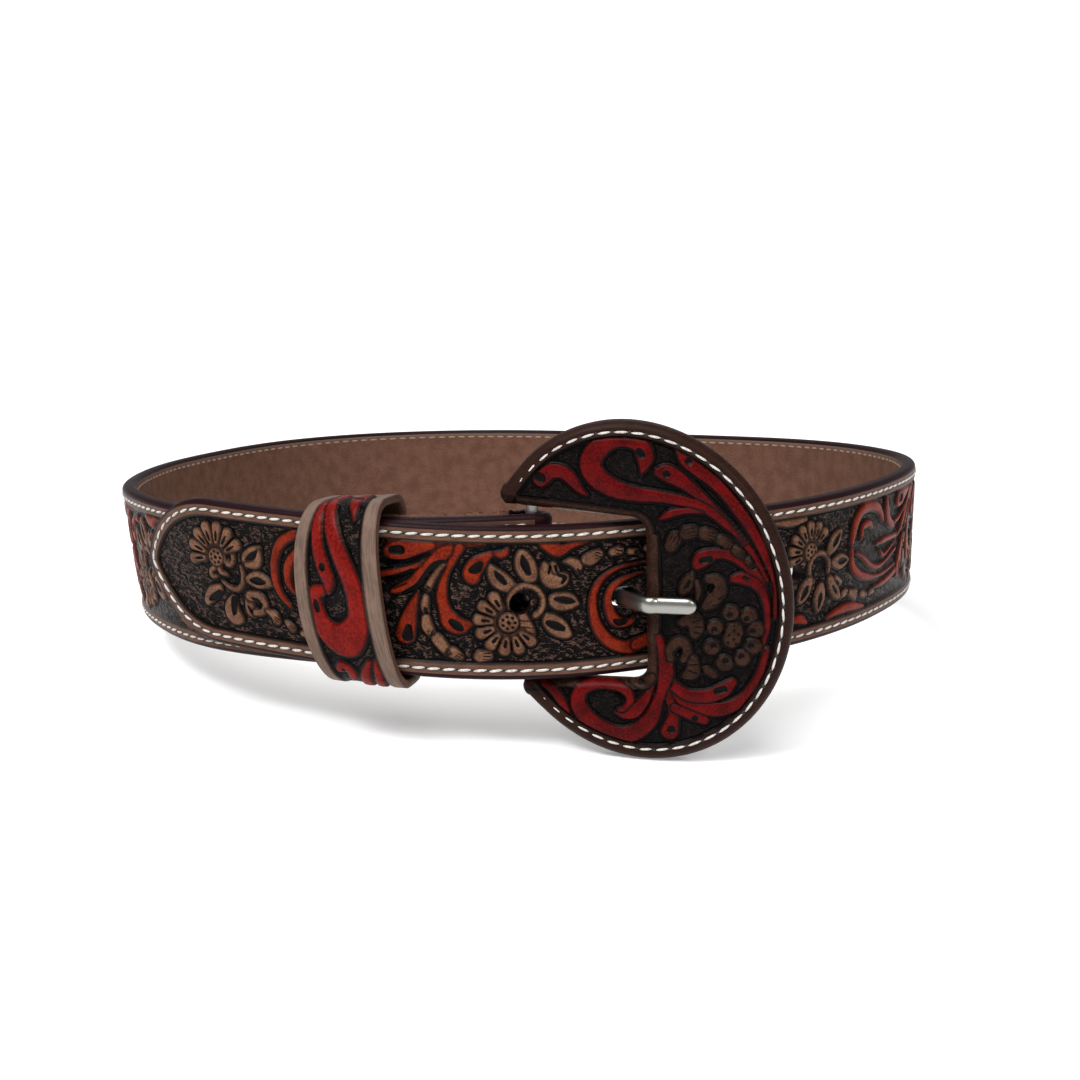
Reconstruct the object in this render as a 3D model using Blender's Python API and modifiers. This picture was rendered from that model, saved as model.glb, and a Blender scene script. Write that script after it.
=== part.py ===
"""A western tooled belt, buckled into its loop and standing on its edge.

The loop is modelled level, with the strap's lower edge at height 0, the buckle towards -Y and
the wearer's waist at the middle. The buckle reaches below the strap, so the whole belt is then
tipped back until it rests on the buckle's foot and on the back of the strap.
"""
import math

import bmesh
import bpy
import numpy as np
from mathutils import Matrix, Vector

# Strap
STRAP_WIDTH = 0.038
STRAP_THICKNESS = 0.0042
STRAP_EDGE_RADIUS = 0.0015
FOLD_THICKNESS = 0.0030
FLAP_LENGTH = 0.052
FOLD_TAPER_LENGTH = 0.022
LAYER_GAP = 0.0004
TIP_REACH = 0.1143
TIP_TAPER_LENGTH = 0.027
TIP_POINT_WIDTH = 0.0016
CROSSING_LENGTH = 0.052

# Loop, measured over the outer face at the upper edge
LOOP_WIDTH = 0.2395
LOOP_DEPTH = 0.246

# Outline of the loop seen from above, from the buckle bar round by the left, the back and the
# right. Across is a share of half the loop's width, deep a share of half its depth.
ACROSS, DEEP = 0, 1
LOOP_OUTLINE = (
    (0.065, -0.972),
    (-0.10, -0.988),
    (-0.26, -0.968),
    (-0.41, -0.908),
    (-0.57, -0.830),
    (-0.73, -0.728),
    (-0.87, -0.560),
    (-0.976, -0.330),
    (-1.010, -0.070),
    (-0.992, 0.200),
    (-0.915, 0.480),
    (-0.775, 0.760),
    (-0.535, 0.955),
    (-0.240, 1.010),
    (0.070, 0.945),
    (0.340, 0.810),
    (0.595, 0.650),
    (0.800, 0.455),
    (0.932, 0.205),
    (0.978, -0.080),
    (0.930, -0.350),
    (0.822, -0.563),
    (0.665, -0.755),
    (0.470, -0.880),
    (0.245, -0.940),
)

# How the strap rises and leans along its way. Way is a share of the loop's length from the bar,
# and goes past 1 along the tip. Rise is a share of the strap's width, and lean, in degrees, is
# outwards at the upper edge.
WAY, RISE, LEAN = 0, 1, 2
STRAP_POSTURE = (
    (-0.07, 0.000, 0.0),
    (0.000, 0.000, 0.0),
    (0.060, -0.012, 1.0),
    (0.110, -0.018, 3.5),
    (0.200, 0.000, 6.5),
    (0.340, 0.000, 5.0),
    (0.500, 0.000, 3.0),
    (0.620, -0.006, 2.0),
    (0.730, 0.020, 1.0),
    (0.800, 0.032, 2.0),
    (0.880, 0.004, 3.0),
    (0.945, -0.040, 1.0),
    (1.000, -0.056, 0.0),
    (1.060, 0.006, 1.0),
    (1.140, 0.108, 5.0),
)

# Belt holes, counted from the one in use: positive towards the tip
HOLE_PITCH = 0.0250
HOLE_DIAMETER = 0.0052
HOLE_STEPS = (1, -1, -2)
TONGUE_HOLE_FROM_BAR = 0.0204
TONGUE_HOLE_LENGTH = 0.0084
TONGUE_SLOT_LENGTH = 0.019

# Buckle frame: an oval plate, bowed to the waist, with a gap for the strap open to the left
BUCKLE_LENGTH = 0.0852
BUCKLE_WIDTH = 0.0738
BUCKLE_THICKNESS = 0.0066
BUCKLE_EDGE_RADIUS = 0.0027
BUCKLE_CROWN = 0.0008
BUCKLE_SLANT = math.radians(21.8)
BUCKLE_TURN = math.radians(9.5)
BUCKLE_BOW = 0.0025
BUCKLE_DROP = 0.0228
HORN_TIP_WIDTH = 0.0054

# The gap, measured at its closed end: place right of the oval's middle, and drop below the strap
STRAP_GAP_HEIGHT = 0.0399
STRAP_GAP_EDGE = 0.0024
STRAP_GAP_BELOW = 0.0029
STRAP_GAP_CORNER = 0.0036
STRAP_GAP_TOP_SLOPE = math.radians(5.6)
STRAP_GAP_FOOT_SLOPE = math.radians(1.5)

# Buckle bar, upright between the horns
BAR_DIAMETER = 0.0032
BAR_FROM_MIDDLE = 0.0046
BAR_FROM_OVAL_MIDDLE = 0.0259
BAR_BEHIND_PLATE = 0.0006
BAR_SEAT_DEPTH = 0.0035

# Tongue, with its end's reach right of the oval's middle
TONGUE_WIDTH = 0.0041
TONGUE_THICKNESS = 0.0026
TONGUE_REACH = 0.0122
TONGUE_NOSE = 0.0024
TONGUE_FALL = 0.0014
TONGUE_EYE_ANGLE = math.radians(285.0)

# Keeper: a wide band bulging away from the strap
KEEPER_WIDTH = 0.0189
KEEPER_WALL = 0.0020
KEEPER_HEIGHT = 0.0463
KEEPER_FROM_BAR = 0.0430
KEEPER_BULGE = 0.0112
KEEPER_BACK_GAP = 0.0022
KEEPER_RISE = 0.0008
KEEPER_FLARE = 0.04
KEEPER_LEFT_BOW = 0.0036
KEEPER_RIGHT_BOW = 0.0010
KEEPER_LEFT_SKEW = math.radians(5.5)
KEEPER_RIGHT_SKEW = math.radians(5.0)
KEEPER_BACK_REACH = STRAP_THICKNESS + LAYER_GAP + FOLD_THICKNESS + KEEPER_BACK_GAP + KEEPER_WALL
# Reach from the outline, and how square the band is across its depth and its height
REACH, SQUARE_OUT, SQUARE_UP = 0, 1, 2
KEEPER_FRONT = (KEEPER_BULGE, 0.62, 0.72)
KEEPER_BACK = (KEEPER_BACK_REACH, 0.40, 0.46)

# Fits
CLEARANCE = 0.0003

# Fineness
STATION_STEP = 0.0068
CORNER_STEPS = 3
FOLD_STEPS = 8
TIP_STEPS = 12
ROUND_SIDES = 16
PLATE_STEPS = 46
PLATE_CORNER_STEPS = 4
PLATE_FLAT_STEPS = 3
HORN_END_STEPS = 3
KEEPER_SIDES = 36
KEEPER_COLUMNS = 7
EYE_STEPS = 14
SHARP_ANGLE = math.radians(50.0)

UP = Vector((0.0, 0.0, 1.0))


def smooth_table(rows, column, way):
    """Read one column of a table at a share of the way, with no kinks between the rows."""
    ways = [row[WAY] for row in rows]
    values = [row[column] for row in rows]
    count = len(rows)
    place = min(max(way, ways[0]), ways[-1])
    k = min(max(int(np.searchsorted(ways, place)) - 1, 0), count - 2)

    def slope(i):
        lo, hi = max(i - 1, 0), min(i + 1, count - 1)
        return (values[hi] - values[lo]) / (ways[hi] - ways[lo])

    span = ways[k + 1] - ways[k]
    t = (place - ways[k]) / span
    rise = values[k + 1] - values[k]
    a = slope(k) * span - rise
    b = -slope(k + 1) * span + rise
    return (1 - t) * values[k] + t * values[k + 1] + t * (1 - t) * ((1 - t) * a + t * b)


def ease(t):
    t = min(max(t, 0.0), 1.0)
    return t * t * (3 - 2 * t)


class LoopOutline:
    """The closed line that the strap follows, seen from above, by length from the buckle bar."""

    SAMPLES = 60

    def __init__(self):
        points = self.closed_curve(np.array(LOOP_OUTLINE) * (LOOP_WIDTH / 2, LOOP_DEPTH / 2))
        low, high = points.min(axis=0), points.max(axis=0)
        points = (points - (low + high) / 2) / (high - low) * (LOOP_WIDTH, LOOP_DEPTH)
        steps = np.hypot(*np.diff(points, axis=0).T)
        lengths = np.concatenate(([0.0], np.cumsum(steps)))
        from_bar = np.abs(points[:, ACROSS] - BAR_FROM_MIDDLE) + (points[:, DEEP] > 0) * LOOP_WIDTH
        self.points = points
        self.lengths = lengths
        self.start = lengths[int(np.argmin(from_bar))]
        self.length = lengths[-1]

    def closed_curve(self, corners):
        """A closed curve of even curvature through the corners."""
        n = len(corners)
        gaps = np.hypot(*(np.roll(corners, -1, axis=0) - corners).T)
        matrix = np.zeros((n, n))
        right = np.zeros((n, 2))
        for i in range(n):
            before, after = gaps[i - 1], gaps[i]
            matrix[i, i - 1] += before
            matrix[i, i] += 2 * (before + after)
            matrix[i, (i + 1) % n] += after
            ahead = (corners[(i + 1) % n] - corners[i]) / after
            behind = (corners[i] - corners[i - 1]) / before
            right[i] = 6 * (ahead - behind)
        bend = np.linalg.solve(matrix, right)
        points = []
        for i in range(n):
            j, gap = (i + 1) % n, gaps[i]
            for k in range(self.SAMPLES):
                t = k / self.SAMPLES
                ease_in = (1 - t) ** 3 - (1 - t)
                ease_out = t ** 3 - t
                point = (1 - t) * corners[i] + t * corners[j]
                point += gap * gap / 6 * (ease_in * bend[i] + ease_out * bend[j])
                points.append(point)
        points.append(points[0])
        return np.array(points)

    def at(self, way):
        """Place on the outline at a length from the bar, leftwards."""
        s = (self.start + way) % self.length
        across = np.interp(s, self.lengths, self.points[:, ACROSS])
        deep = np.interp(s, self.lengths, self.points[:, DEEP])
        return Vector((across, deep, 0.0))

    def outward(self, way):
        """Level direction away from the waist there."""
        span = STATION_STEP / 4
        along = (self.at(way + span) - self.at(way - span)).normalized()
        return Vector((-along.y, along.x, 0.0))

    def along(self, way):
        """Level direction across the outward one."""
        return UP.cross(self.outward(way))


OUTLINE = LoopOutline()


def strap_thickness(way):
    blend = ease(way / FOLD_TAPER_LENGTH)
    return FOLD_THICKNESS + (STRAP_THICKNESS - FOLD_THICKNESS) * blend


def strap_inset(way):
    """How far inside the outline the middle of the strap's thickness runs."""
    over = -(LAYER_GAP + STRAP_THICKNESS / 2)
    if way > OUTLINE.length:
        return over
    blend = ease(1 - (OUTLINE.length - way) / CROSSING_LENGTH)
    under = strap_thickness(way) / 2
    return under + (over - under) * blend


def posture(way):
    """Rise of the strap's edge, and the unit directions outward and up across its width."""
    share = way / OUTLINE.length
    rise = smooth_table(STRAP_POSTURE, RISE, share) * STRAP_WIDTH
    lean = math.radians(smooth_table(STRAP_POSTURE, LEAN, share))
    out = OUTLINE.outward(way)
    leaning_out = out * math.cos(lean) - UP * math.sin(lean)
    leaning_up = UP * math.cos(lean) + out * math.sin(lean)
    return rise, leaning_out, leaning_up


def strap_middle(way, inset):
    """Middle of the strap's width and thickness, with its directions outward and up."""
    rise, out, up = posture(way)
    top = OUTLINE.at(way) + UP * (STRAP_WIDTH + rise)
    return top - up * (STRAP_WIDTH / 2) - OUTLINE.outward(way) * inset, out, up


def strap_place(way):
    """Middle of the strap where it lies at that way, with its directions outward and up."""
    return strap_middle(way, strap_inset(way))


def rounded_section(width, thickness, radius):
    """Points round a rounded rectangle: outward first, then up."""
    radius = min(radius, 0.98 * width / 2, 0.98 * thickness / 2)
    a, b = thickness / 2 - radius, width / 2 - radius
    points = []
    for turn, (sa, sb) in enumerate(((1, -1), (1, 1), (-1, 1), (-1, -1))):
        for step in range(CORNER_STEPS):
            angle = math.pi / 2 * (turn - 1 + step / (CORNER_STEPS - 1))
            points.append((sa * a + radius * math.cos(angle), sb * b + radius * math.sin(angle)))
    return points


def bar_centre():
    """Middle of the bar's axis, inside the strap's fold, with the outward direction there."""
    out = OUTLINE.outward(0.0)
    inset = FOLD_THICKNESS + CLEARANCE + BAR_DIAMETER / 2
    return OUTLINE.at(0.0) - out * inset + UP * (STRAP_WIDTH / 2), out


def tip_width(to_point):
    """Width of the strap at a length back from its pointed end."""
    share = min(max(to_point / TIP_TAPER_LENGTH, 0.0), 1.0)
    spread = math.sin(math.pi / 2 * share ** 0.75)
    return TIP_POINT_WIDTH + (STRAP_WIDTH - TIP_POINT_WIDTH) * spread


def flap_stations():
    """Sections along the flap behind the strap, from its end to the fold."""
    fold_inside = BAR_DIAMETER + 2 * CLEARANCE
    spread_length = FLAP_LENGTH / 2
    steps = round(FLAP_LENGTH / STATION_STEP)
    stations = []
    for k in range(steps + 1):
        way = FLAP_LENGTH * (1 - k / steps)
        apart = (fold_inside - LAYER_GAP) * ease(1 - way / spread_length)
        inset = strap_thickness(way) + LAYER_GAP + FOLD_THICKNESS / 2 + apart
        middle, out, up = strap_middle(way, inset)
        stations.append((middle, -out, up, STRAP_WIDTH, FOLD_THICKNESS))
    return stations


def fold_stations():
    """Sections round the bar."""
    radius = FOLD_THICKNESS / 2 + CLEARANCE + BAR_DIAMETER / 2
    centre, out = bar_centre()
    along = OUTLINE.along(0.0)
    stations = []
    for k in range(1, FOLD_STEPS):
        angle = math.pi * k / FOLD_STEPS
        radial = along * math.sin(angle) - out * math.cos(angle)
        stations.append((centre + radial * radius, radial, UP, STRAP_WIDTH, FOLD_THICKNESS))
    return stations


def strap_stations():
    """Sections along the strap, from the end of the flap round to the pointed tip."""
    stations = flap_stations() + fold_stations()
    whole = OUTLINE.length + TIP_REACH
    straight = whole - TIP_TAPER_LENGTH
    steps = round(straight / STATION_STEP)
    for k in range(steps + 1):
        way = straight * k / steps
        stations.append((*strap_place(way), STRAP_WIDTH, strap_thickness(way)))
    for k in range(1, TIP_STEPS + 1):
        to_point = TIP_TAPER_LENGTH * (1 - k / TIP_STEPS) ** 1.4
        way = whole - to_point
        stations.append((*strap_place(way), tip_width(to_point), STRAP_THICKNESS))
    return stations


def shaded(mesh):
    mesh.shade_smooth()
    mesh.set_sharp_from_angle(angle=SHARP_ANGLE)
    return mesh


def loft(name, rings, capped=True):
    """A skin over rings of points, with a flat face on each end where it is capped."""
    mesh = bpy.data.meshes.new(name)
    work = bmesh.new()
    rows = [[work.verts.new(point) for point in ring] for ring in rings]
    count = len(rows[0])
    for one, two in zip(rows, rows[1:]):
        for i in range(count):
            j = (i + 1) % count
            work.faces.new((one[i], one[j], two[j], two[i]))
    if capped:
        work.faces.new(list(reversed(rows[0])))
        work.faces.new(rows[-1])
    bmesh.ops.recalc_face_normals(work, faces=work.faces)
    work.to_mesh(mesh)
    work.free()
    return bpy.data.objects.new(name, shaded(mesh))


def material(name, colour, roughness, metallic=0.0):
    made = bpy.data.materials.new(name)
    made.use_nodes = True
    shader = made.node_tree.nodes["Principled BSDF"]
    shader.inputs["Base Color"].default_value = (*colour, 1.0)
    shader.inputs["Roughness"].default_value = roughness
    shader.inputs["Metallic"].default_value = metallic
    return made


def add(thing, collection, parent, finish=None):
    collection.objects.link(thing)
    thing.parent = parent
    if finish:
        thing.data.materials.append(finish)
    return thing


def as_cutter(thing, collection, parent):
    thing.hide_render = True
    thing.display_type = "WIRE"
    return add(thing, collection, parent)


def oval_cutter(name, width, length, depth, at, along, through):
    """A slot-shaped cutter: length runs along, depth runs through, centred at a point."""
    work = bmesh.new()
    reach = (length - width) / 2
    for end in (-depth / 2, depth / 2):
        for k in range(ROUND_SIDES):
            angle = math.tau * (k + 0.5) / ROUND_SIDES
            side = math.copysign(reach, math.cos(angle))
            work.verts.new((side + math.cos(angle) * width / 2, math.sin(angle) * width / 2, end))
    verts = list(work.verts)
    work.faces.new(verts[:ROUND_SIDES])
    work.faces.new(verts[ROUND_SIDES:])
    for k in range(ROUND_SIDES):
        n = (k + 1) % ROUND_SIDES
        work.faces.new((verts[k], verts[n], verts[ROUND_SIDES + n], verts[ROUND_SIDES + k]))
    bmesh.ops.recalc_face_normals(work, faces=work.faces)
    mesh = bpy.data.meshes.new(name)
    work.to_mesh(mesh)
    work.free()
    cutter = bpy.data.objects.new(name, mesh)
    across = through.cross(along).normalized()
    along = across.cross(through).normalized()
    turn = Matrix((along, across, through)).transposed().to_4x4()
    cutter.matrix_local = Matrix.Translation(at) @ turn
    return cutter


def cut(target, cutter):
    boolean = target.modifiers.new("cut " + cutter.name, "BOOLEAN")
    boolean.operation = "DIFFERENCE"
    boolean.solver = "EXACT"
    boolean.object = cutter


def hole_way(step):
    """Length from the bar, round the loop, of a belt hole."""
    return OUTLINE.length - TONGUE_HOLE_FROM_BAR + step * HOLE_PITCH


def build_strap(parts, cutters, base, finish):
    rings = []
    for middle, out, up, width, thick in strap_stations():
        section = rounded_section(width, thick, STRAP_EDGE_RADIUS)
        rings.append([middle + out * a + up * b for a, b in section])
    strap = add(loft("strap", rings), parts, base, finish)
    holes = [("belt_hole_cutter_%d" % (k + 1), step, HOLE_DIAMETER, HOLE_DIAMETER)
             for k, step in enumerate(HOLE_STEPS)]
    holes.append(("tongue_hole_cutter", 0, TONGUE_WIDTH + 4 * CLEARANCE, TONGUE_HOLE_LENGTH))
    for name, step, width, length in holes:
        way = hole_way(step)
        middle, out, _ = strap_place(way)
        depth = STRAP_THICKNESS + LAYER_GAP if step > 0 else STRAP_THICKNESS * 2
        cutter = oval_cutter(name, width, length, depth, middle, OUTLINE.along(way), out)
        cut(strap, as_cutter(cutter, cutters, base))
    centre, out = bar_centre()
    centre.z = tongue_height()
    through_fold = BAR_DIAMETER + 2 * (FOLD_THICKNESS + CLEARANCE) + LAYER_GAP
    slot = oval_cutter("tongue_slot_cutter", TONGUE_WIDTH + 6 * CLEARANCE, TONGUE_SLOT_LENGTH,
                       through_fold, centre, OUTLINE.along(0.0), out)
    cut(strap, as_cutter(slot, cutters, base))


def tongue_height():
    """Height of the tongue's eye, at the middle of the strap where the tongue comes through it."""
    return strap_place(hole_way(0))[0].z + TONGUE_FALL / 2


class Plate:
    """The buckle's middle surface: right, up and out directions, and its bow."""

    def __init__(self):
        centre, _ = bar_centre()
        self.right = Vector((math.cos(BUCKLE_TURN), -math.sin(BUCKLE_TURN), 0))
        self.out = Vector((-math.sin(BUCKLE_TURN), -math.cos(BUCKLE_TURN), 0))
        self.half = BUCKLE_WIDTH / 2
        half_high = math.hypot(BUCKLE_LENGTH * math.cos(BUCKLE_SLANT),
                               BUCKLE_WIDTH * math.sin(BUCKLE_SLANT)) / 2
        forward = BAR_BEHIND_PLATE - self.bow(BAR_FROM_OVAL_MIDDLE)
        self.origin = centre + self.out * forward + self.right * BAR_FROM_OVAL_MIDDLE
        self.origin.z = half_high - BUCKLE_DROP

    def bow(self, right):
        return BUCKLE_BOW * (1 - (right / self.half) ** 2)

    def place(self, right, up, out=0.0):
        slope = -2 * BUCKLE_BOW * right / self.half ** 2
        normal = (self.out - self.right * slope).normalized()
        surface = self.origin + self.right * right + self.out * self.bow(right)
        return surface + UP * up + normal * out


PLATE = Plate()


def oval_edge(angle):
    """Point on the buckle's outer edge, in the plate, with the angle from its slanted long axis."""
    long = BUCKLE_LENGTH / 2 * math.cos(angle)
    wide = BUCKLE_WIDTH / 2 * math.sin(angle)
    right = -long * math.sin(BUCKLE_SLANT) + wide * math.cos(BUCKLE_SLANT)
    up = long * math.cos(BUCKLE_SLANT) + wide * math.sin(BUCKLE_SLANT)
    return right, up


def gap_top(right):
    """Height of the gap's upper edge in the plate."""
    closed_end = STRAP_GAP_HEIGHT - STRAP_GAP_BELOW - PLATE.origin.z
    return closed_end + (STRAP_GAP_EDGE - right) * math.tan(STRAP_GAP_TOP_SLOPE)


def gap_foot(right):
    """Height of the gap's lower edge in the plate."""
    closed_end = -STRAP_GAP_BELOW - PLATE.origin.z
    return closed_end + (STRAP_GAP_EDGE - right) * math.tan(STRAP_GAP_FOOT_SLOPE)


def horn_angle(gap_edge, beyond):
    """Angle where the left of the outer oval is a horn tip's width beyond a gap edge."""
    found, least = 0.0, BUCKLE_LENGTH
    for angle in np.linspace(0.0, math.tau, 3601):
        right, up = oval_edge(angle)
        miss = abs(up - gap_edge(right) - beyond)
        if right < -BAR_FROM_OVAL_MIDDLE / 2 and miss < least:
            found, least = angle, miss
    return found


def gap_path(left_above, left_below):
    """The gap's edge in the plate, from its upper left end round its corners to the lower left."""
    steps = PLATE_CORNER_STEPS + 1
    path = [(left_above, gap_top(left_above))]
    for gap_edge, inwards in ((gap_top, -1), (gap_foot, 1)):
        arc = []
        for k in range(steps + 1):
            angle = math.pi / 2 * k / steps
            right = STRAP_GAP_EDGE - STRAP_GAP_CORNER * (1 - math.sin(angle))
            arc.append((right, gap_edge(right) + inwards * STRAP_GAP_CORNER * (1 - math.cos(angle))))
        path += arc if inwards < 0 else arc[::-1]
    path.append((left_below, gap_foot(left_below)))
    return np.array(path)


def rounded_end(outer, inner):
    """Rows that round a horn's end off beyond its last pair of edge points, outermost last."""
    middle, half = (outer + inner) / 2, (outer - inner) / 2
    beyond = np.array((-abs(half[1]), half[0] * math.copysign(1.0, half[1])))
    rows = []
    for k in range(1, HORN_END_STEPS + 1):
        angle = math.radians(75.0) * k / HORN_END_STEPS
        centre = middle + beyond * 0.6 * math.sin(angle)
        across = half * math.cos(angle)
        rows.append((centre + across, centre - across, 0.5 + math.cos(angle) / 2))
    return rows


def crescent_rows():
    """Outer and inner edge points and share of the thickness, from the upper horn to the lower."""
    upper = horn_angle(gap_top, HORN_TIP_WIDTH)
    lower = horn_angle(gap_foot, -HORN_TIP_WIDTH)
    first = upper - math.tau if upper > lower else upper
    path = gap_path(oval_edge(upper)[0], oval_edge(lower)[0])
    lengths = np.concatenate(([0.0], np.cumsum(np.hypot(*np.diff(path, axis=0).T))))
    rows = []
    for share in np.linspace(0.0, 1.0, PLATE_STEPS + 1):
        outer = np.array(oval_edge(first + (lower - first) * share))
        reach = lengths[-1] * share
        inner = np.array((np.interp(reach, lengths, path[:, 0]), np.interp(reach, lengths, path[:, 1])))
        rows.append((outer, inner, 1.0))
    start = rounded_end(*rows[0][:2])
    finish = rounded_end(*rows[-1][:2])
    return start[::-1] + rows + finish


def plate_section(outer, inner, thickness):
    """Points round the plate's section between its outer and inner edge."""
    width = float(np.hypot(*(outer - inner)))
    radius = min(BUCKLE_EDGE_RADIUS, 0.9 * thickness / 2, 0.6 * width / 2)
    side = []
    for k in range(PLATE_CORNER_STEPS + 1):
        angle = math.pi / 2 * k / PLATE_CORNER_STEPS
        side.append((radius * (1 - math.cos(angle)), thickness / 2 - radius * (1 - math.sin(angle))))
    front = list(side)
    for k in range(1, PLATE_FLAT_STEPS):
        front.append((radius + (width - 2 * radius) * k / PLATE_FLAT_STEPS, thickness / 2))
    front += [(width - x, z) for x, z in reversed(side)]
    back = [(x, -z) for x, z in reversed(front)]
    points = []
    for x, z in front + back:
        share = x / width
        right, up = outer + (inner - outer) * share
        crown = BUCKLE_CROWN * 4 * share * (1 - share) if z > 0 else 0.0
        points.append(PLATE.place(float(right), float(up), z + crown))
    return points


def build_buckle(parts, base, finish):
    rings = [plate_section(outer, inner, BUCKLE_THICKNESS * share)
             for outer, inner, share in crescent_rows()]
    return add(loft("buckle", rings), parts, base, finish)


def build_keeper(parts, base, finish):
    """An open band round the layers of strap, thickened by its wall."""
    rings = []
    for c in range(KEEPER_COLUMNS):
        blend = c / (KEEPER_COLUMNS - 1)
        share = blend - 0.5
        bow = KEEPER_LEFT_BOW + (KEEPER_RIGHT_BOW - KEEPER_LEFT_BOW) * blend
        skew = math.tan(KEEPER_LEFT_SKEW + (KEEPER_RIGHT_SKEW - KEEPER_LEFT_SKEW) * blend)
        ring = []
        for k in range(KEEPER_SIDES):
            angle = math.tau * k / KEEPER_SIDES
            cos, sin = math.cos(angle), math.sin(angle)
            side = KEEPER_FRONT if cos > 0 else KEEPER_BACK
            out = side[REACH] * math.copysign(abs(cos) ** side[SQUARE_OUT], cos)
            level = math.copysign(abs(sin) ** side[SQUARE_UP], sin)
            up = KEEPER_HEIGHT / 2 * level * (1 + KEEPER_FLARE * share)
            way = KEEPER_FROM_BAR - KEEPER_WIDTH * share + up * skew + bow * (1 - level * level)
            middle, away, high = strap_middle(way, 0.0)
            ring.append(middle + UP * KEEPER_RISE + away * out + high * up)
        rings.append(ring)
    keeper = add(loft("keeper", rings, capped=False), parts, base, finish)
    shell = keeper.modifiers.new("wall", "SOLIDIFY")
    shell.thickness = KEEPER_WALL
    shell.offset = -1.0
    shell.use_even_offset = True


def rod(name, radius, low, high, centre):
    """An upright round rod between two heights."""
    work = bmesh.new()
    bmesh.ops.create_cone(work, cap_ends=True, segments=ROUND_SIDES, radius1=radius, radius2=radius,
                          depth=high - low)
    mesh = bpy.data.meshes.new(name)
    work.to_mesh(mesh)
    work.free()
    made = bpy.data.objects.new(name, shaded(mesh))
    made.location = (centre.x, centre.y, (low + high) / 2)
    return made


def build_bar(parts, cutters, buckle, base, finish):
    """A plain upright bar seated in the two horns."""
    centre, _ = bar_centre()
    low = PLATE.origin.z + gap_foot(-BAR_FROM_OVAL_MIDDLE) - BAR_SEAT_DEPTH
    high = PLATE.origin.z + gap_top(-BAR_FROM_OVAL_MIDDLE) + BAR_SEAT_DEPTH
    radius = BAR_DIAMETER / 2
    seat = rod("bar_seat_cutter", radius + CLEARANCE, low - CLEARANCE, high + CLEARANCE, centre)
    cut(buckle, as_cutter(seat, cutters, base))
    add(rod("buckle_bar", radius, low, high, centre), parts, base, finish)


def tongue_route():
    """Points along the tongue: round the bar, through the strap's hole and onto the frame."""
    centre, out = bar_centre()
    along = OUTLINE.along(0.0)
    height = tongue_height()
    eye = BAR_DIAMETER / 2 + CLEARANCE + TONGUE_THICKNESS / 2
    points = []
    for k in range(EYE_STEPS + 1):
        angle = TONGUE_EYE_ANGLE * (1 - k / EYE_STEPS)
        points.append(centre + (out * math.cos(angle) - along * math.sin(angle)) * eye)
    way = hole_way(0)
    middle, away, _ = strap_place(way)
    forward = -OUTLINE.along(way)
    behind = (STRAP_THICKNESS + TONGUE_THICKNESS) / 2
    points.append(middle - away * behind - forward * (TONGUE_HOLE_LENGTH / 3))
    points.append(middle)
    lying = (TONGUE_THICKNESS + BUCKLE_THICKNESS) / 2 + BUCKLE_CROWN + CLEARANCE
    for share in (0.2, 0.45, 0.75, 1.0):
        points.append(PLATE.place(TONGUE_REACH * share, 0.0, lying))
    reach = (points[-1] - centre).dot(PLATE.right)
    for point in points:
        share = max((point - centre).dot(PLATE.right), 0.0) / reach
        point.z = height - TONGUE_FALL * share
    return points


def build_tongue(parts, base, finish):
    """A round wire bent along its route, then stretched across to the tongue's width."""
    route = tongue_route()
    radii = [1.0] * len(route)
    end = route[-1].copy()
    ahead = (route[-1] - route[-2]).normalized() * TONGUE_NOSE
    for share in (0.4, 0.7, 0.9):
        route.append(end + ahead * share)
        radii.append(math.sqrt(1 - share * share))
    height = tongue_height()
    tall = TONGUE_WIDTH / TONGUE_THICKNESS
    curve = bpy.data.curves.new("tongue_route", "CURVE")
    curve.dimensions = "3D"
    curve.bevel_depth = TONGUE_THICKNESS / 2
    curve.bevel_resolution = 2
    curve.use_fill_caps = True
    curve.twist_mode = "Z_UP"
    spline = curve.splines.new("POLY")
    spline.points.add(len(route) - 1)
    for point, place, radius in zip(spline.points, route, radii):
        point.co = (place.x, place.y, (place.z - height) / tall, 1.0)
        point.radius = radius
    wire = bpy.data.objects.new("tongue_wire", curve)
    bpy.context.scene.collection.objects.link(wire)
    shape = bpy.data.meshes.new_from_object(wire.evaluated_get(bpy.context.evaluated_depsgraph_get()))
    bpy.data.objects.remove(wire)
    work = bmesh.new()
    work.from_mesh(shape)
    bmesh.ops.remove_doubles(work, verts=work.verts, dist=0.00001)
    for vert in work.verts:
        vert.co.z = vert.co.z * tall + height
    bmesh.ops.recalc_face_normals(work, faces=work.faces)
    work.to_mesh(shape)
    work.free()
    shape.name = "tongue"
    shape.shade_smooth()
    add(bpy.data.objects.new("tongue", shape), parts, base, finish)


def solid_middle(meshes):
    """Centre of mass of closed meshes, taken as one even material."""
    volume, moment = 0.0, Vector((0.0, 0.0, 0.0))
    for mesh in meshes:
        mesh.calc_loop_triangles()
        for triangle in mesh.loop_triangles:
            a, b, c = (mesh.vertices[i].co for i in triangle.vertices)
            wedge = a.dot(b.cross(c)) / 6
            volume += wedge
            moment += (a + b + c) / 4 * wedge
    return moment / volume


def face_under(corners, middle):
    """Normal of the hull's lower face that the centre of mass stands over."""
    hull = bmesh.new()
    for corner in corners:
        hull.verts.new(corner)
    bmesh.ops.convex_hull(hull, input=hull.verts)
    normal = -UP
    for face in hull.faces:
        face.normal_update()
        if face.normal.z > -0.9:
            continue
        around = [vert.co for vert in face.verts]
        sides = [(after - before).cross(middle - before).dot(face.normal)
                 for before, after in zip(around, around[1:] + around[:1])]
        if min(sides) >= 0:
            normal = face.normal.copy()
    hull.free()
    return normal


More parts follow.
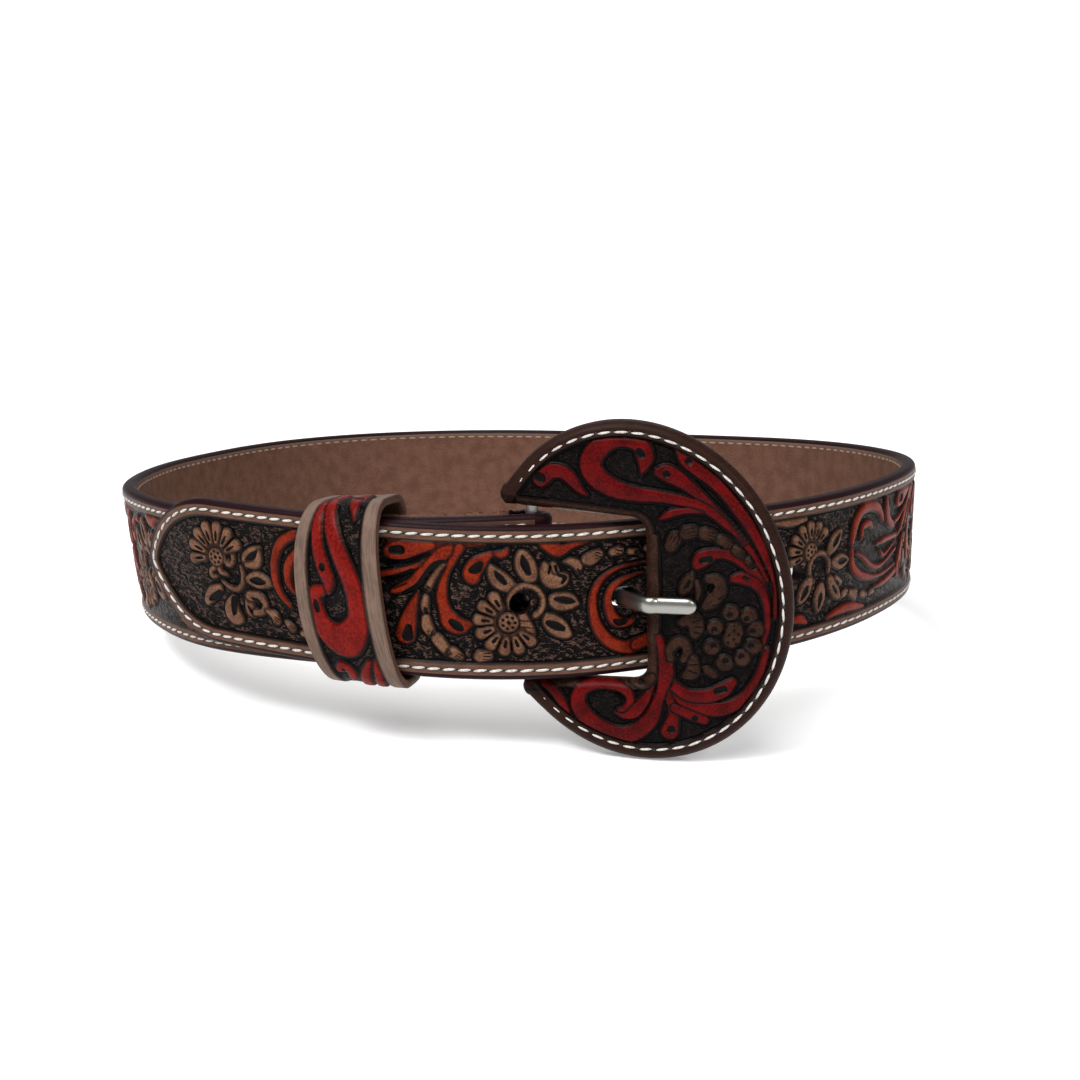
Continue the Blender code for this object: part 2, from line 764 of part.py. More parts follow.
def rest(base, parts):
    """Set the belt down as it would stand by itself, tipped back off the buckle, and centre it."""
    bpy.context.view_layer.update()
    depsgraph = bpy.context.evaluated_depsgraph_get()
    meshes = []
    for thing in parts.objects:
        if thing.type == "MESH":
            mesh = bpy.data.meshes.new_from_object(thing.evaluated_get(depsgraph))
            mesh.transform(thing.matrix_world)
            meshes.append(mesh)
    corners = [vert.co.copy() for mesh in meshes for vert in mesh.vertices]
    down = face_under(corners, solid_middle(meshes))
    turn = down.rotation_difference(-UP).to_matrix()
    for mesh in meshes:
        bpy.data.meshes.remove(mesh)
    placed = np.array([turn @ corner for corner in corners])
    low, high = placed.min(axis=0), placed.max(axis=0)
    shift = Vector((-(low[0] + high[0]) / 2, -(low[1] + high[1]) / 2, -low[2]))
    base.matrix_world = Matrix.Translation(shift) @ turn.to_4x4()
    bpy.context.view_layer.update()


def main():
    for thing in list(bpy.data.objects):
        bpy.data.objects.remove(thing)
    parts = bpy.data.collections.new("western_tooled_belt")
    cutters = bpy.data.collections.new("cutters")
    for collection in (parts, cutters):
        bpy.context.scene.collection.children.link(collection)
    base = bpy.data.objects.new("belt_base", None)
    parts.objects.link(base)
    leather = material("tooled_leather", (0.150, 0.070, 0.038), 0.45)
    cover = material("buckle_leather", (0.110, 0.022, 0.016), 0.42)
    band = material("keeper_leather", (0.190, 0.050, 0.030), 0.50)
    steel = material("bar_steel", (0.42, 0.41, 0.39), 0.40, 1.0)
    nickel = material("tongue_nickel", (0.62, 0.60, 0.56), 0.25, 1.0)
    build_strap(parts, cutters, base, leather)
    buckle = build_buckle(parts, base, cover)
    build_bar(parts, cutters, buckle, base, steel)
    build_tongue(parts, base, nickel)
    build_keeper(parts, base, band)
    rest(base, parts)


main()
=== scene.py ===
"""Looks of the western tooled belt: carved and painted leather, stitching, metal, floor and light."""
import math

import bmesh
import bpy
import numpy as np
from mathutils import Matrix, Vector


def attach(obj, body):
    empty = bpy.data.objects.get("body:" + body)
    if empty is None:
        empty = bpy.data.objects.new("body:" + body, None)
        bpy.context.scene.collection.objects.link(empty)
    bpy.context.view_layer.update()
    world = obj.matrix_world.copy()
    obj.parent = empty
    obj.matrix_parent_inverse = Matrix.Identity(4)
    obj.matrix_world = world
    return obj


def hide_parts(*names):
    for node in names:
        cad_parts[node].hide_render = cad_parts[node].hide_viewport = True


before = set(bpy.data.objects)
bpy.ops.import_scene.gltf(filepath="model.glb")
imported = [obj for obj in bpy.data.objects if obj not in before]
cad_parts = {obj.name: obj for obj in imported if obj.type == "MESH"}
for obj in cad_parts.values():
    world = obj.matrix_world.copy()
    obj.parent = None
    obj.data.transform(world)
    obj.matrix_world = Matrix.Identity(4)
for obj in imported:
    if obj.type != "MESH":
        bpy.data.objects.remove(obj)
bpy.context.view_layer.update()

MM = 0.001

# The belt as it stands: from the level loop to the floor
BASE = Matrix((
    (0.99903965, 0.00174166, -0.04377867, 0.00122098),
    (0.00174166, 0.99684113, 0.07940256, 0.0023163),
    (0.04377867, -0.07940256, 0.99588084, 0.01154114),
    (0.0, 0.0, 0.0, 1.0),
))

# Driving sizes, as in the solids
STRAP_WIDTH = 0.038
STRAP_THICKNESS = 0.0042
STRAP_EDGE_RADIUS = 0.0015
FOLD_THICKNESS = 0.0030
FLAP_LENGTH = 0.052
FOLD_TAPER_LENGTH = 0.022
LAYER_GAP = 0.0004
TIP_REACH = 0.1143
TIP_TAPER_LENGTH = 0.027
TIP_POINT_WIDTH = 0.0016
CROSSING_LENGTH = 0.052
LOOP_WIDTH = 0.2395
LOOP_DEPTH = 0.246
LOOP_OUTLINE = (
    (0.065, -0.972), (-0.10, -0.988), (-0.26, -0.968), (-0.41, -0.908), (-0.57, -0.830),
    (-0.73, -0.728), (-0.87, -0.560), (-0.976, -0.330), (-1.010, -0.070), (-0.992, 0.200),
    (-0.915, 0.480), (-0.775, 0.760), (-0.535, 0.955), (-0.240, 1.010), (0.070, 0.945),
    (0.340, 0.810), (0.595, 0.650), (0.800, 0.455), (0.932, 0.205), (0.978, -0.080),
    (0.930, -0.350), (0.822, -0.563), (0.665, -0.755), (0.470, -0.880), (0.245, -0.940),
)
STRAP_POSTURE = (
    (-0.07, 0.000, 0.0), (0.000, 0.000, 0.0), (0.060, -0.012, 1.0), (0.110, -0.018, 3.5),
    (0.200, 0.000, 6.5), (0.340, 0.000, 5.0), (0.500, 0.000, 3.0), (0.620, -0.006, 2.0),
    (0.730, 0.020, 1.0), (0.800, 0.032, 2.0), (0.880, 0.004, 3.0), (0.945, -0.040, 1.0),
    (1.000, -0.056, 0.0), (1.060, 0.006, 1.0), (1.140, 0.108, 5.0),
)
HOLE_PITCH = 0.0250
HOLE_DIAMETER = 0.0052
HOLE_STEPS = (1, -1, -2)
TONGUE_HOLE_FROM_BAR = 0.0204
TONGUE_HOLE_LENGTH = 0.0084
TONGUE_SLOT_LENGTH = 0.019
BUCKLE_LENGTH = 0.0852
BUCKLE_WIDTH = 0.0738
BUCKLE_THICKNESS = 0.0066
BUCKLE_EDGE_RADIUS = 0.0027
BUCKLE_CROWN = 0.0008
BUCKLE_SLANT = math.radians(21.8)
BUCKLE_TURN = math.radians(9.5)
BUCKLE_BOW = 0.0025
BUCKLE_DROP = 0.0228
HORN_TIP_WIDTH = 0.0054
STRAP_GAP_HEIGHT = 0.0399
STRAP_GAP_EDGE = 0.0024
STRAP_GAP_BELOW = 0.0029
STRAP_GAP_CORNER = 0.0036
STRAP_GAP_TOP_SLOPE = math.radians(5.6)
STRAP_GAP_FOOT_SLOPE = math.radians(1.5)
BAR_DIAMETER = 0.0032
BAR_FROM_MIDDLE = 0.0046
BAR_FROM_OVAL_MIDDLE = 0.0259
BAR_BEHIND_PLATE = 0.0006
TONGUE_WIDTH = 0.0041
TONGUE_THICKNESS = 0.0026
TONGUE_REACH = 0.0122
TONGUE_NOSE = 0.0024
TONGUE_FALL = 0.0014
TONGUE_EYE_ANGLE = math.radians(285.0)
KEEPER_WIDTH = 0.0189
KEEPER_WALL = 0.0020
KEEPER_HEIGHT = 0.0463
KEEPER_FROM_BAR = 0.0430
KEEPER_BULGE = 0.0112
KEEPER_BACK_REACH = STRAP_THICKNESS + LAYER_GAP + FOLD_THICKNESS + 0.0022 + KEEPER_WALL
KEEPER_RISE = 0.0008
KEEPER_FLARE = 0.04
KEEPER_LEFT_BOW = 0.0036
KEEPER_RIGHT_BOW = 0.0010
KEEPER_LEFT_SKEW = math.radians(5.5)
KEEPER_RIGHT_SKEW = math.radians(5.0)
KEEPER_FRONT = (KEEPER_BULGE, 0.62, 0.72)
KEEPER_BACK = (KEEPER_BACK_REACH, 0.40, 0.46)
CLEARANCE = 0.0003
STATION_STEP = 0.0068
UP = Vector((0.0, 0.0, 1.0))

# Tooling, in millimetres
STITCH_IN = 2.5
STITCH_PITCH = 3.8
STITCH_LENGTH = 3.1
BORDER_IN = 4.2
CARVE_DEPTH = 0.62
BUCKLE_STITCH_IN = 2.9
BUCKLE_BORDER_IN = 4.0
BUCKLE_STITCH_PITCH = 4.1
BUCKLE_STITCH_LENGTH = 3.1
BUCKLE_CARVE_DEPTH = 0.72
KEEPER_CARVE_DEPTH = 0.55
KEEPER_BORDER_IN = 3.2
KEEPER_CHART_TOP = 24.0
KEEPER_CARVED_TO = 26.5

# Carving: how its raised work rises and swells, the cut round it, and the flecks and hollows
STAND_FROM = 0.22
STAND_WIDTH = 0.5
SWELL_WIDTH = 1.5
SWELL_HEIGHT = 0.16
CUT_DEPTH = 0.30
CUT_WIDTH = 0.24
FLECK_HEIGHT = 0.13
FLECK_FROM = 0.35
FLECK_FADE = 0.4
HOLLOW_FROM = 0.15
HOLLOW_WIDTH = 0.5
HOLLOW_DEPTH = 0.42
GROOVE_DEPTH = 0.16
GROOVE_WIDTH = 0.55

# The strap's chart: across is this much less the way round the loop
CHART_START = 770
# Painted distances are kept within this
PAINT_REACH = 3.0
FAR_OFF = 1e9
PLAIN_RIM = 8.0
# Chart's length of the pattern that repeats round the loop
TILE = 159.5
# The tip's edge is measured point by point within this of the point
TIP_CHART_REACH = 42

# The plain band along the crescent's gap: width, how much narrower it is above a height, and its reach
GAP_BAND_IN = 3.4
GAP_BAND_LESS = 1.2
GAP_BAND_LESS_FROM = 14
GAP_BAND_REACH = 24

# Where the strap's lengths meet, and their grid steps: along, across the face, across the back
FRONT_FROM = 0.688
RIGHT_FROM = 0.600
ROUND_FROM = 0.300
FRONT_STEPS = (0.00040, 0.00038, 0.0024)
RIGHT_STEPS = (0.00048, 0.00048, 0.0024)
ROUND_STEPS = (0.00068, 0.00068, 0.003)
NOSE_SHARE = 0.09

# The flap: rows along it, the row where its edge turns dark, its fray and its rows' chart spacing
FLAP_STEPS = 60
FLAP_DARK_FROM = 54
FLAP_FRAY = 0.00022
FLAP_ROW = 0.9
FOLD_STEPS = 24
FLAP_GRID = (0.0012, 0.0024)
FLAP_SLOT_SHARE = 0.72
FLAP_SLOT_SHIFT = 0.003

HORN_STEPS = 9
HORN_TURN = math.radians(75.0)
HOOK_STEPS = 28
HOOK_KEPT = 26

# Threads: length, width and height
STRAP_THREAD = (STITCH_LENGTH * MM, 0.00068, 0.00056)
BUCKLE_THREAD = (BUCKLE_STITCH_LENGTH * MM, 0.00060, 0.00056)
INSIDE_THREAD = (STITCH_LENGTH * MM, 0.00070, 0.00060)
# Size of the dark pits of painted shade at the stitch holes
HOLE_SHADE_SIZE = (0.00125, 0.00105, 0.00028)
STITCH_STEP = 0.0015
# Where the rows begin and end, how deep they lie, and how wide the crescent has to be for its row
STITCH_FROM = 0.002
STITCH_TURN_SHARE = 1.35
STITCH_SINK = 0.00012
BUCKLE_STITCH_SINK = 0.00010
BUCKLE_STITCH_CROWN = 0.42
BUCKLE_STITCH_SPARE = 2.2
INSIDE_FROM = 0.056
INSIDE_TO = 0.030
INSIDE_SINK = 0.00022
HOLE_SINK = 0.00002

CAMERA_PITCH = math.radians(8.785)
CAMERA_ROLL = math.radians(1.2)
CAMERA_AT = Vector((0.00565, -0.5185, 0.0930657))
CAMERA_LENS = 55
FLOOR_REACH = 20
FLOOR_GLOW = 0.23
SKY_LIGHT = 0.26
SKY_SEEN = 1.02
SUN_POWER = 2.65
SUN_SPREAD = math.radians(50)
SUN_TOWARD = Vector((-0.28, -0.46, 1.0))
# Lamps: name, place, aim, size and power
LAMPS = (
    ("glint_left", (-0.40, -0.55, 0.75), (0, -0.1, 0.03), (0.30, 0.18), 3.2),
    ("glint_right", (0.55, -0.60, 0.55), (0, -0.1, 0.03), (0.22, 0.22), 1.6),
    ("rim", (0.0, 0.75, 0.75), (0, 0.1, 0.03), (0.9, 0.3), 2.0),
)


def smooth_table(rows, column, way):
    """Value of a column at a way, on a smooth curve through the rows."""
    ways = [row[0] for row in rows]
    values = [row[column] for row in rows]
    count = len(rows)
    place = min(max(way, ways[0]), ways[-1])
    k = min(max(int(np.searchsorted(ways, place)) - 1, 0), count - 2)

    def slope(i):
        lo, hi = max(i - 1, 0), min(i + 1, count - 1)
        return (values[hi] - values[lo]) / (ways[hi] - ways[lo])

    span = ways[k + 1] - ways[k]
    t = (place - ways[k]) / span
    rise = values[k + 1] - values[k]
    a = slope(k) * span - rise
    b = -slope(k + 1) * span + rise
    return (1 - t) * values[k] + t * values[k + 1] + t * (1 - t) * ((1 - t) * a + t * b)


def ease(t):
    """A soft step from 0 to 1."""
    t = min(max(t, 0.0), 1.0)
    return t * t * (3 - 2 * t)


class LoopOutline:
    """The closed line that the strap follows, seen from above, by length from the buckle bar."""

    SAMPLES = 60

    def __init__(self):
        points = self.closed_curve(np.array(LOOP_OUTLINE) * (LOOP_WIDTH / 2, LOOP_DEPTH / 2))
        low, high = points.min(axis=0), points.max(axis=0)
        points = (points - (low + high) / 2) / (high - low) * (LOOP_WIDTH, LOOP_DEPTH)
        steps = np.hypot(*np.diff(points, axis=0).T)
        lengths = np.concatenate(([0.0], np.cumsum(steps)))
        from_bar = np.abs(points[:, 0] - BAR_FROM_MIDDLE) + (points[:, 1] > 0) * LOOP_WIDTH
        self.points = points
        self.lengths = lengths
        self.start = lengths[int(np.argmin(from_bar))]
        self.length = lengths[-1]

    def closed_curve(self, corners):
        """A closed spline through the corners."""
        n = len(corners)
        gaps = np.hypot(*(np.roll(corners, -1, axis=0) - corners).T)
        matrix = np.zeros((n, n))
        right = np.zeros((n, 2))
        for i in range(n):
            before, after = gaps[i - 1], gaps[i]
            matrix[i, i - 1] += before
            matrix[i, i] += 2 * (before + after)
            matrix[i, (i + 1) % n] += after
            ahead = (corners[(i + 1) % n] - corners[i]) / after
            behind = (corners[i] - corners[i - 1]) / before
            right[i] = 6 * (ahead - behind)
        bend = np.linalg.solve(matrix, right)
        points = []
        for i in range(n):
            j, gap = (i + 1) % n, gaps[i]
            for k in range(self.SAMPLES):
                t = k / self.SAMPLES
                ease_in = (1 - t) ** 3 - (1 - t)
                ease_out = t ** 3 - t
                point = (1 - t) * corners[i] + t * corners[j]
                point += gap * gap / 6 * (ease_in * bend[i] + ease_out * bend[j])
                points.append(point)
        points.append(points[0])
        return np.array(points)

    def at(self, way):
        """Point on the line."""
        s = (self.start + way) % self.length
        across = np.interp(s, self.lengths, self.points[:, 0])
        deep = np.interp(s, self.lengths, self.points[:, 1])
        return Vector((across, deep, 0.0))

    def outward(self, way):
        """Level direction out of the loop."""
        span = STATION_STEP / 4
        along = (self.at(way + span) - self.at(way - span)).normalized()
        return Vector((-along.y, along.x, 0.0))

    def along(self, way):
        """Level direction along the line."""
        return UP.cross(self.outward(way))


OUTLINE = LoopOutline()
WHOLE = OUTLINE.length + TIP_REACH


def strap_thickness(way):
    """Thickness, thin at the fold and full beyond the taper."""
    blend = ease(way / FOLD_TAPER_LENGTH)
    return FOLD_THICKNESS + (STRAP_THICKNESS - FOLD_THICKNESS) * blend


def strap_inset(way):
    """How far the strap's middle lies inside the loop's line."""
    over = -(LAYER_GAP + STRAP_THICKNESS / 2)
    if way > OUTLINE.length:
        return over
    blend = ease(1 - (OUTLINE.length - way) / CROSSING_LENGTH)
    under = strap_thickness(way) / 2
    return under + (over - under) * blend


def posture(way):
    """Rise of the strap, and its outward and upward directions with its lean."""
    share = way / OUTLINE.length
    rise = smooth_table(STRAP_POSTURE, 1, share) * STRAP_WIDTH
    lean = math.radians(smooth_table(STRAP_POSTURE, 2, share))
    out = OUTLINE.outward(way)
    leaning_out = out * math.cos(lean) - UP * math.sin(lean)
    leaning_up = UP * math.cos(lean) + out * math.sin(lean)
    return rise, leaning_out, leaning_up


def strap_middle(way, inset):
    """Point of the strap's middle line at an inset, with its directions."""
    rise, out, up = posture(way)
    top = OUTLINE.at(way) + UP * (STRAP_WIDTH + rise)
    return top - up * (STRAP_WIDTH / 2) - OUTLINE.outward(way) * inset, out, up


def strap_place(way):
    """Point of the strap's middle line, with its directions."""
    return strap_middle(way, strap_inset(way))


def bar_centre():
    """Middle of the bar, and the outward direction there."""
    out = OUTLINE.outward(0.0)
    inset = FOLD_THICKNESS + CLEARANCE + BAR_DIAMETER / 2
    return OUTLINE.at(0.0) - out * inset + UP * (STRAP_WIDTH / 2), out


def tip_width(to_point):
    """Width of the strap at a length from its point."""
    share = min(max(to_point / TIP_TAPER_LENGTH, 0.0), 1.0)
    spread = math.sin(math.pi / 2 * share ** 0.75)
    return TIP_POINT_WIDTH + (STRAP_WIDTH - TIP_POINT_WIDTH) * spread


def hole_way(step):
    """Way of a belt hole, counted from the one that holds the tongue."""
    return OUTLINE.length - TONGUE_HOLE_FROM_BAR + step * HOLE_PITCH


def tongue_height():
    """Height of the tongue at the bar."""
    return strap_place(hole_way(0))[0].z + TONGUE_FALL / 2


class StrapTable:
    """The strap's middle line, directions and thickness by way, ready to read for many points."""

    def __init__(self):
        self.ways = np.linspace(0.0, WHOLE, 1100)
        rows = [strap_place(way) for way in self.ways]
        self.middle = np.array([row[0] for row in rows])
        self.out = np.array([row[1] for row in rows])
        self.up = np.array([row[2] for row in rows])
        self.thick = np.array([strap_thickness(way) for way in self.ways])

    def read(self, values, way):
        """Values between the table's rows."""
        return np.stack([np.interp(way, self.ways, values[:, k]) for k in range(3)], axis=-1)

    def place(self, way, up, out):
        """Points at a way, a height from the middle line and a distance out, in metres."""
        middle = self.read(self.middle, way)
        return middle + self.read(self.up, way) * up[..., None] + self.read(self.out, way) * out[..., None]


STRAP = StrapTable()


class Plate:
    """The buckle's middle surface: right, up and out directions, and its bow."""

    def __init__(self):
        centre, _ = bar_centre()
        self.right = Vector((math.cos(BUCKLE_TURN), -math.sin(BUCKLE_TURN), 0))
        self.out = Vector((-math.sin(BUCKLE_TURN), -math.cos(BUCKLE_TURN), 0))
        self.half = BUCKLE_WIDTH / 2
        half_high = math.hypot(BUCKLE_LENGTH * math.cos(BUCKLE_SLANT),
                               BUCKLE_WIDTH * math.sin(BUCKLE_SLANT)) / 2
        forward = BAR_BEHIND_PLATE - self.bow(BAR_FROM_OVAL_MIDDLE)
        self.origin = centre + self.out * forward + self.right * BAR_FROM_OVAL_MIDDLE
        self.origin.z = half_high - BUCKLE_DROP

    def bow(self, right):
        """How far the plate bows out."""
        return BUCKLE_BOW * (1 - (right / self.half) ** 2)

    def place(self, right, up, out):
        """Points on the plate, in metres, for arrays of right, up and out."""
        slope = -2 * BUCKLE_BOW * right / self.half ** 2
        way_out, way_right = np.array(self.out), np.array(self.right)
        normal = way_out - way_right * slope[..., None]
        normal /= np.linalg.norm(normal, axis=-1, keepdims=True)
        points = np.array(self.origin) + way_right * right[..., None]
        points = points + way_out * self.bow(right)[..., None] + np.array(UP) * up[..., None]
        return points + normal * out[..., None]


PLATE = Plate()


def oval_edge(angle):
    """Right and up of a point on the crescent's outer oval."""
    long = BUCKLE_LENGTH / 2 * np.cos(angle)
    wide = BUCKLE_WIDTH / 2 * np.sin(angle)
    right = -long * math.sin(BUCKLE_SLANT) + wide * math.cos(BUCKLE_SLANT)
    up = long * math.cos(BUCKLE_SLANT) + wide * math.sin(BUCKLE_SLANT)
    return right, up


def gap_top(right):
    """Height of the gap's upper edge."""
    closed_end = STRAP_GAP_HEIGHT - STRAP_GAP_BELOW - PLATE.origin.z
    return closed_end + (STRAP_GAP_EDGE - right) * math.tan(STRAP_GAP_TOP_SLOPE)


def gap_foot(right):
    """Height of the gap's lower edge."""
    closed_end = -STRAP_GAP_BELOW - PLATE.origin.z
    return closed_end + (STRAP_GAP_EDGE - right) * math.tan(STRAP_GAP_FOOT_SLOPE)


def horn_angle(gap_edge, beyond):
    """Angle on the oval where a horn ends, beyond the gap's edge."""
    found, least = 0.0, BUCKLE_LENGTH
    for angle in np.linspace(0.0, math.tau, 3601):
        right, up = oval_edge(angle)
        miss = abs(up - gap_edge(right) - beyond)
        if right < -BAR_FROM_OVAL_MIDDLE / 2 and miss < least:
            found, least = angle, miss
    return found


def gap_path(left_above, left_below):
    """The gap's edge from the upper horn to the lower one."""
    steps = 5
    path = [(left_above, gap_top(left_above))]
    for gap_edge, inwards in ((gap_top, -1), (gap_foot, 1)):
        arc = []
        for k in range(steps + 1):
            angle = math.pi / 2 * k / steps
            right = STRAP_GAP_EDGE - STRAP_GAP_CORNER * (1 - math.sin(angle))
            arc.append((right, gap_edge(right) + inwards * STRAP_GAP_CORNER * (1 - math.cos(angle))))
        path += arc if inwards < 0 else arc[::-1]
    path.append((left_below, gap_foot(left_below)))
    return np.array(path)


# Carving

def smooth_line(points, steps=7):
    """A smooth line through rows of place and half width."""
    rows = np.array(points, float)
    if len(rows) < 2:
        return rows
    if len(rows) == 2:
        t = np.linspace(0, 1, 3)[:, None]
        return rows[0] * (1 - t) + rows[1] * t
    padded = np.vstack((2 * rows[0] - rows[1], rows, 2 * rows[-1] - rows[-2]))
    out = []
    for k in range(len(rows) - 1):
        p0, p1, p2, p3 = padded[k:k + 4]
        for step in range(steps):
            t = step / steps
            out.append(0.5 * (2 * p1 + (p2 - p0) * t + (2 * p0 - 5 * p1 + 4 * p2 - p3) * t * t
                              + (3 * p1 - p0 - 3 * p2 + p3) * t ** 3))
    out.append(rows[-1])
    out = np.array(out)
    out[:, 2] = np.maximum(out[:, 2], 0.12)
    return out


def segment_distance(px, py, a, b):
    """Distance to a straight line from a to b, and the share of the way along it."""
    dx, dy = b[0] - a[0], b[1] - a[1]
    square = max(dx * dx + dy * dy, 1e-9)
    t = np.clip(((px - a[0]) * dx + (py - a[1]) * dy) / square, 0, 1)
    return np.hypot(px - a[0] - t * dx, py - a[1] - t * dy), t


def line_distance(px, py, line):
    """Distance to the nearest part of a line."""
    best = np.full(px.shape, FAR_OFF)
    for a, b in zip(line, line[1:]):
        best = np.minimum(best, segment_distance(px, py, a, b)[0])
    return best


def stroke_distance(px, py, line):
    """Signed distance to a line of changing half width, less than 0 inside."""
    if len(line) == 1:
        return np.hypot(px - line[0, 0], py - line[0, 1]) - line[0, 2]
    best = np.full(px.shape, FAR_OFF)
    for a, b in zip(line, line[1:]):
        far, t = segment_distance(px, py, a, b)
        best = np.minimum(best, far - (a[2] + (b[2] - a[2]) * t))
    return best


def pebble(x, y):
    """Even random bumps, about a millimetre long and half as tall, from -1 to 1."""
    def corner(i, j):
        mixed = np.sin(i * 127.1 + j * 311.7) * 43758.5453
        return (mixed - np.floor(mixed)) * 2 - 1
    u, v = x / 0.95 + 0.35 * y, y / 0.5
    i, j = np.floor(u), np.floor(v)
    s, t = u - i, v - j
    s, t = s * s * (3 - 2 * s), t * t * (3 - 2 * t)
    low = corner(i, j) * (1 - s) + corner(i + 1, j) * s
    high = corner(i, j + 1) * (1 - s) + corner(i + 1, j + 1) * s
    return low * (1 - t) + high * t


class Relief:
    """Carving painted stroke by stroke over points of a chart, in millimetres."""

    def __init__(self, x, y, rim, border):
        self.x, self.y, self.rim, self.border = x, y, rim, border
        self.up = border - rim
        self.red = np.full(x.shape, -PAINT_REACH)
        self.edge = np.abs(border - rim)
        self.hollow = np.full(x.shape, -PAINT_REACH)
        self.fleck = np.zeros(x.shape)

    def paint_all(self, strokes):
        """All strokes, later ones over earlier ones."""
        for kind, points in strokes:
            self.paint(kind, points)

    def paint(self, kind, points):
        """One stroke: R raised and red, T raised and tan, D a hollow, C a fine cut."""
        line = smooth_line(points)
        reach = line[:, 2].max() + 1.6
        low, high = line[:, :2].min(axis=0) - reach, line[:, :2].max(axis=0) + reach
        near = np.nonzero((self.x > low[0]) & (self.x < high[0]) & (self.y > low[1]) & (self.y < high[1]))
        if not len(near[0]):
            return
        d = stroke_distance(self.x[near], self.y[near], line)
        if kind in "DC":
            self.hollow[near] = np.maximum(self.hollow[near], -d)
            return
        d = np.maximum(d, self.border + 0.1 - self.rim[near])
        inside = d < 0
        self.edge[near] = np.where(inside, -d, np.minimum(self.edge[near], d))
        self.up[near] = np.maximum(self.up[near], -d)
        self.hollow[near] = np.where(inside, np.minimum(self.hollow[near], d), self.hollow[near])
        if kind == "R":
            self.red[near] = np.where(inside, -d, np.maximum(self.red[near], -d))
        else:
            self.red[near] = np.where(inside, d, np.minimum(self.red[near], d))

    def clear(self, where):
        """No carving there."""
        self.up = np.where(where, PAINT_REACH, np.clip(self.up, -PAINT_REACH, PAINT_REACH))
        self.red = np.where(where, -PAINT_REACH, self.red)
        self.edge = np.where(where, PAINT_REACH, np.clip(self.edge, 0.0, PAINT_REACH))
        self.hollow = np.where(where, -PAINT_REACH, self.hollow)

    def height(self, depth):
        """Height of the surface against the border's face."""
        stand = np.clip((self.up + STAND_FROM) / STAND_WIDTH, 0, 1)
        stand = stand * stand * (3 - 2 * stand)
        high = depth * (stand - 1)
        inside = np.clip(self.edge, 0, SWELL_WIDTH) / SWELL_WIDTH
        carved = (self.rim > self.border) & (self.up > 0)
        swell = SWELL_HEIGHT * inside - CUT_DEPTH * np.exp(-(self.edge / CUT_WIDTH) ** 2)
        high = high + np.where(carved, swell, 0.0)
        self.fleck = pebble(self.x, self.y)
        ground = np.clip((-self.up - FLECK_FROM) / FLECK_FADE, 0, 1)
        sunk = np.clip((self.hollow + HOLLOW_FROM) / HOLLOW_WIDTH, 0, 1)
        high = high + FLECK_HEIGHT * self.fleck * ground
        return high - HOLLOW_DEPTH * depth / CARVE_DEPTH * sunk * sunk * (3 - 2 * sunk)


def leaf(x0, y0, x1, y1, wide, hollow=0.45):
    """A pointed leaf from its foot to its tip, with a hollow down its middle."""
    def along(rows):
        return [(x0 + (x1 - x0) * t, y0 + (y1 - y0) * t, half) for t, half in rows]
    blade = [(0.08, wide * 0.55), (0.38, wide), (0.66, wide * 0.82), (0.95, 0.25)]
    inside = [(0.26, 0.2), (0.46, wide * hollow), (0.72, wide * hollow * 0.5), (0.8, 0.15)]
    return [("T", along(blade)), ("D", along(inside))]


def spoke(cx, cy, angle, spots):
    """Points at distances out from a centre, each with its half width."""
    c, s = math.cos(angle), math.sin(angle)
    return [(cx + far * c, cy + far * s, half) for far, half in spots]


def ring_line(cx, cy, radius, start, stop, steps, half):
    """Points along part of a ring, from start to stop in degrees."""
    line = []
    for k in range(steps + 1):
        line += spoke(cx, cy, math.radians(start + (stop - start) * k / steps), [(radius, half)])
    return line


def fan(cx, cy, start, stop, prongs, ring, reach):
    """A fan flower: a beaded centre, a ring round part of it, and prongs with hollows between."""
    step = (stop - start) / (prongs - 1)
    wide = 0.45 * math.radians(step)
    prong = [(ring, wide * ring), (ring + 1.7, wide * (ring + 1.7)), (reach - 0.7, wide * reach * 0.92)]
    hollow = [(ring + 0.4, 0.32), (ring + 1.7, 0.42), (reach - 1.4, 0.20)]
    cut = [(ring - 0.9, 0.16), (reach - 0.2, 0.22)]
    strokes = [("T", ring_line(cx, cy, ring, start, stop, 8, 1.25))]
    for k in range(prongs):
        angle = math.radians(start + step * k)
        strokes += [("T", spoke(cx, cy, angle, prong)), ("D", spoke(cx, cy, angle, hollow))]
    for k in range(prongs - 1):
        strokes.append(("C", spoke(cx, cy, math.radians(start + step * (k + 0.5)), cut)))
    strokes.append(("T", [(cx, cy, 2.55)]))
    for k in range(7):
        strokes.append(("D", spoke(cx, cy, math.tau * k / 7, [(1.5, 0.42)])))
    strokes.append(("D", [(cx, cy, 0.5)]))
    return strokes


def calyx(cx, cy, radius, start, stop):
    """A ring round a hole, with short cuts across it."""
    steps = 9
    strokes = [("T", ring_line(cx, cy, radius, start, stop, steps, 0.8))]
    for k in range(steps):
        angle = math.radians(start + (stop - start) * (k + 0.5) / steps)
        strokes.append(("C", spoke(cx, cy, angle, [(radius - 1.9, 0.2), (radius - 0.2, 0.14)])))
    return strokes


def segments(beads):
    """A vine of swelling beads, each with fine cuts over its end."""
    strokes = [("T", bead) for bead in beads]
    for bead in beads:
        (xa, ya, _), (xb, yb, rb) = bead[0], bead[-1]
        length = max(math.hypot(xb - xa, yb - ya), 0.1)
        ux, uy = (xb - xa) / length, (yb - ya) / length
        for side in (-0.5, 0.0, 0.5):
            fx, fy = xb - uy * rb * side, yb + ux * rb * side
            start = (fx - ux * 0.9, fy - uy * 0.9, 0.13)
            strokes.append(("C", [start, (fx + ux * 0.7, fy + uy * 0.7, 0.17)]))
    return strokes


def dots(kind, spots):
    """One round stroke for each spot."""
    return [(kind, [spot]) for spot in spots]


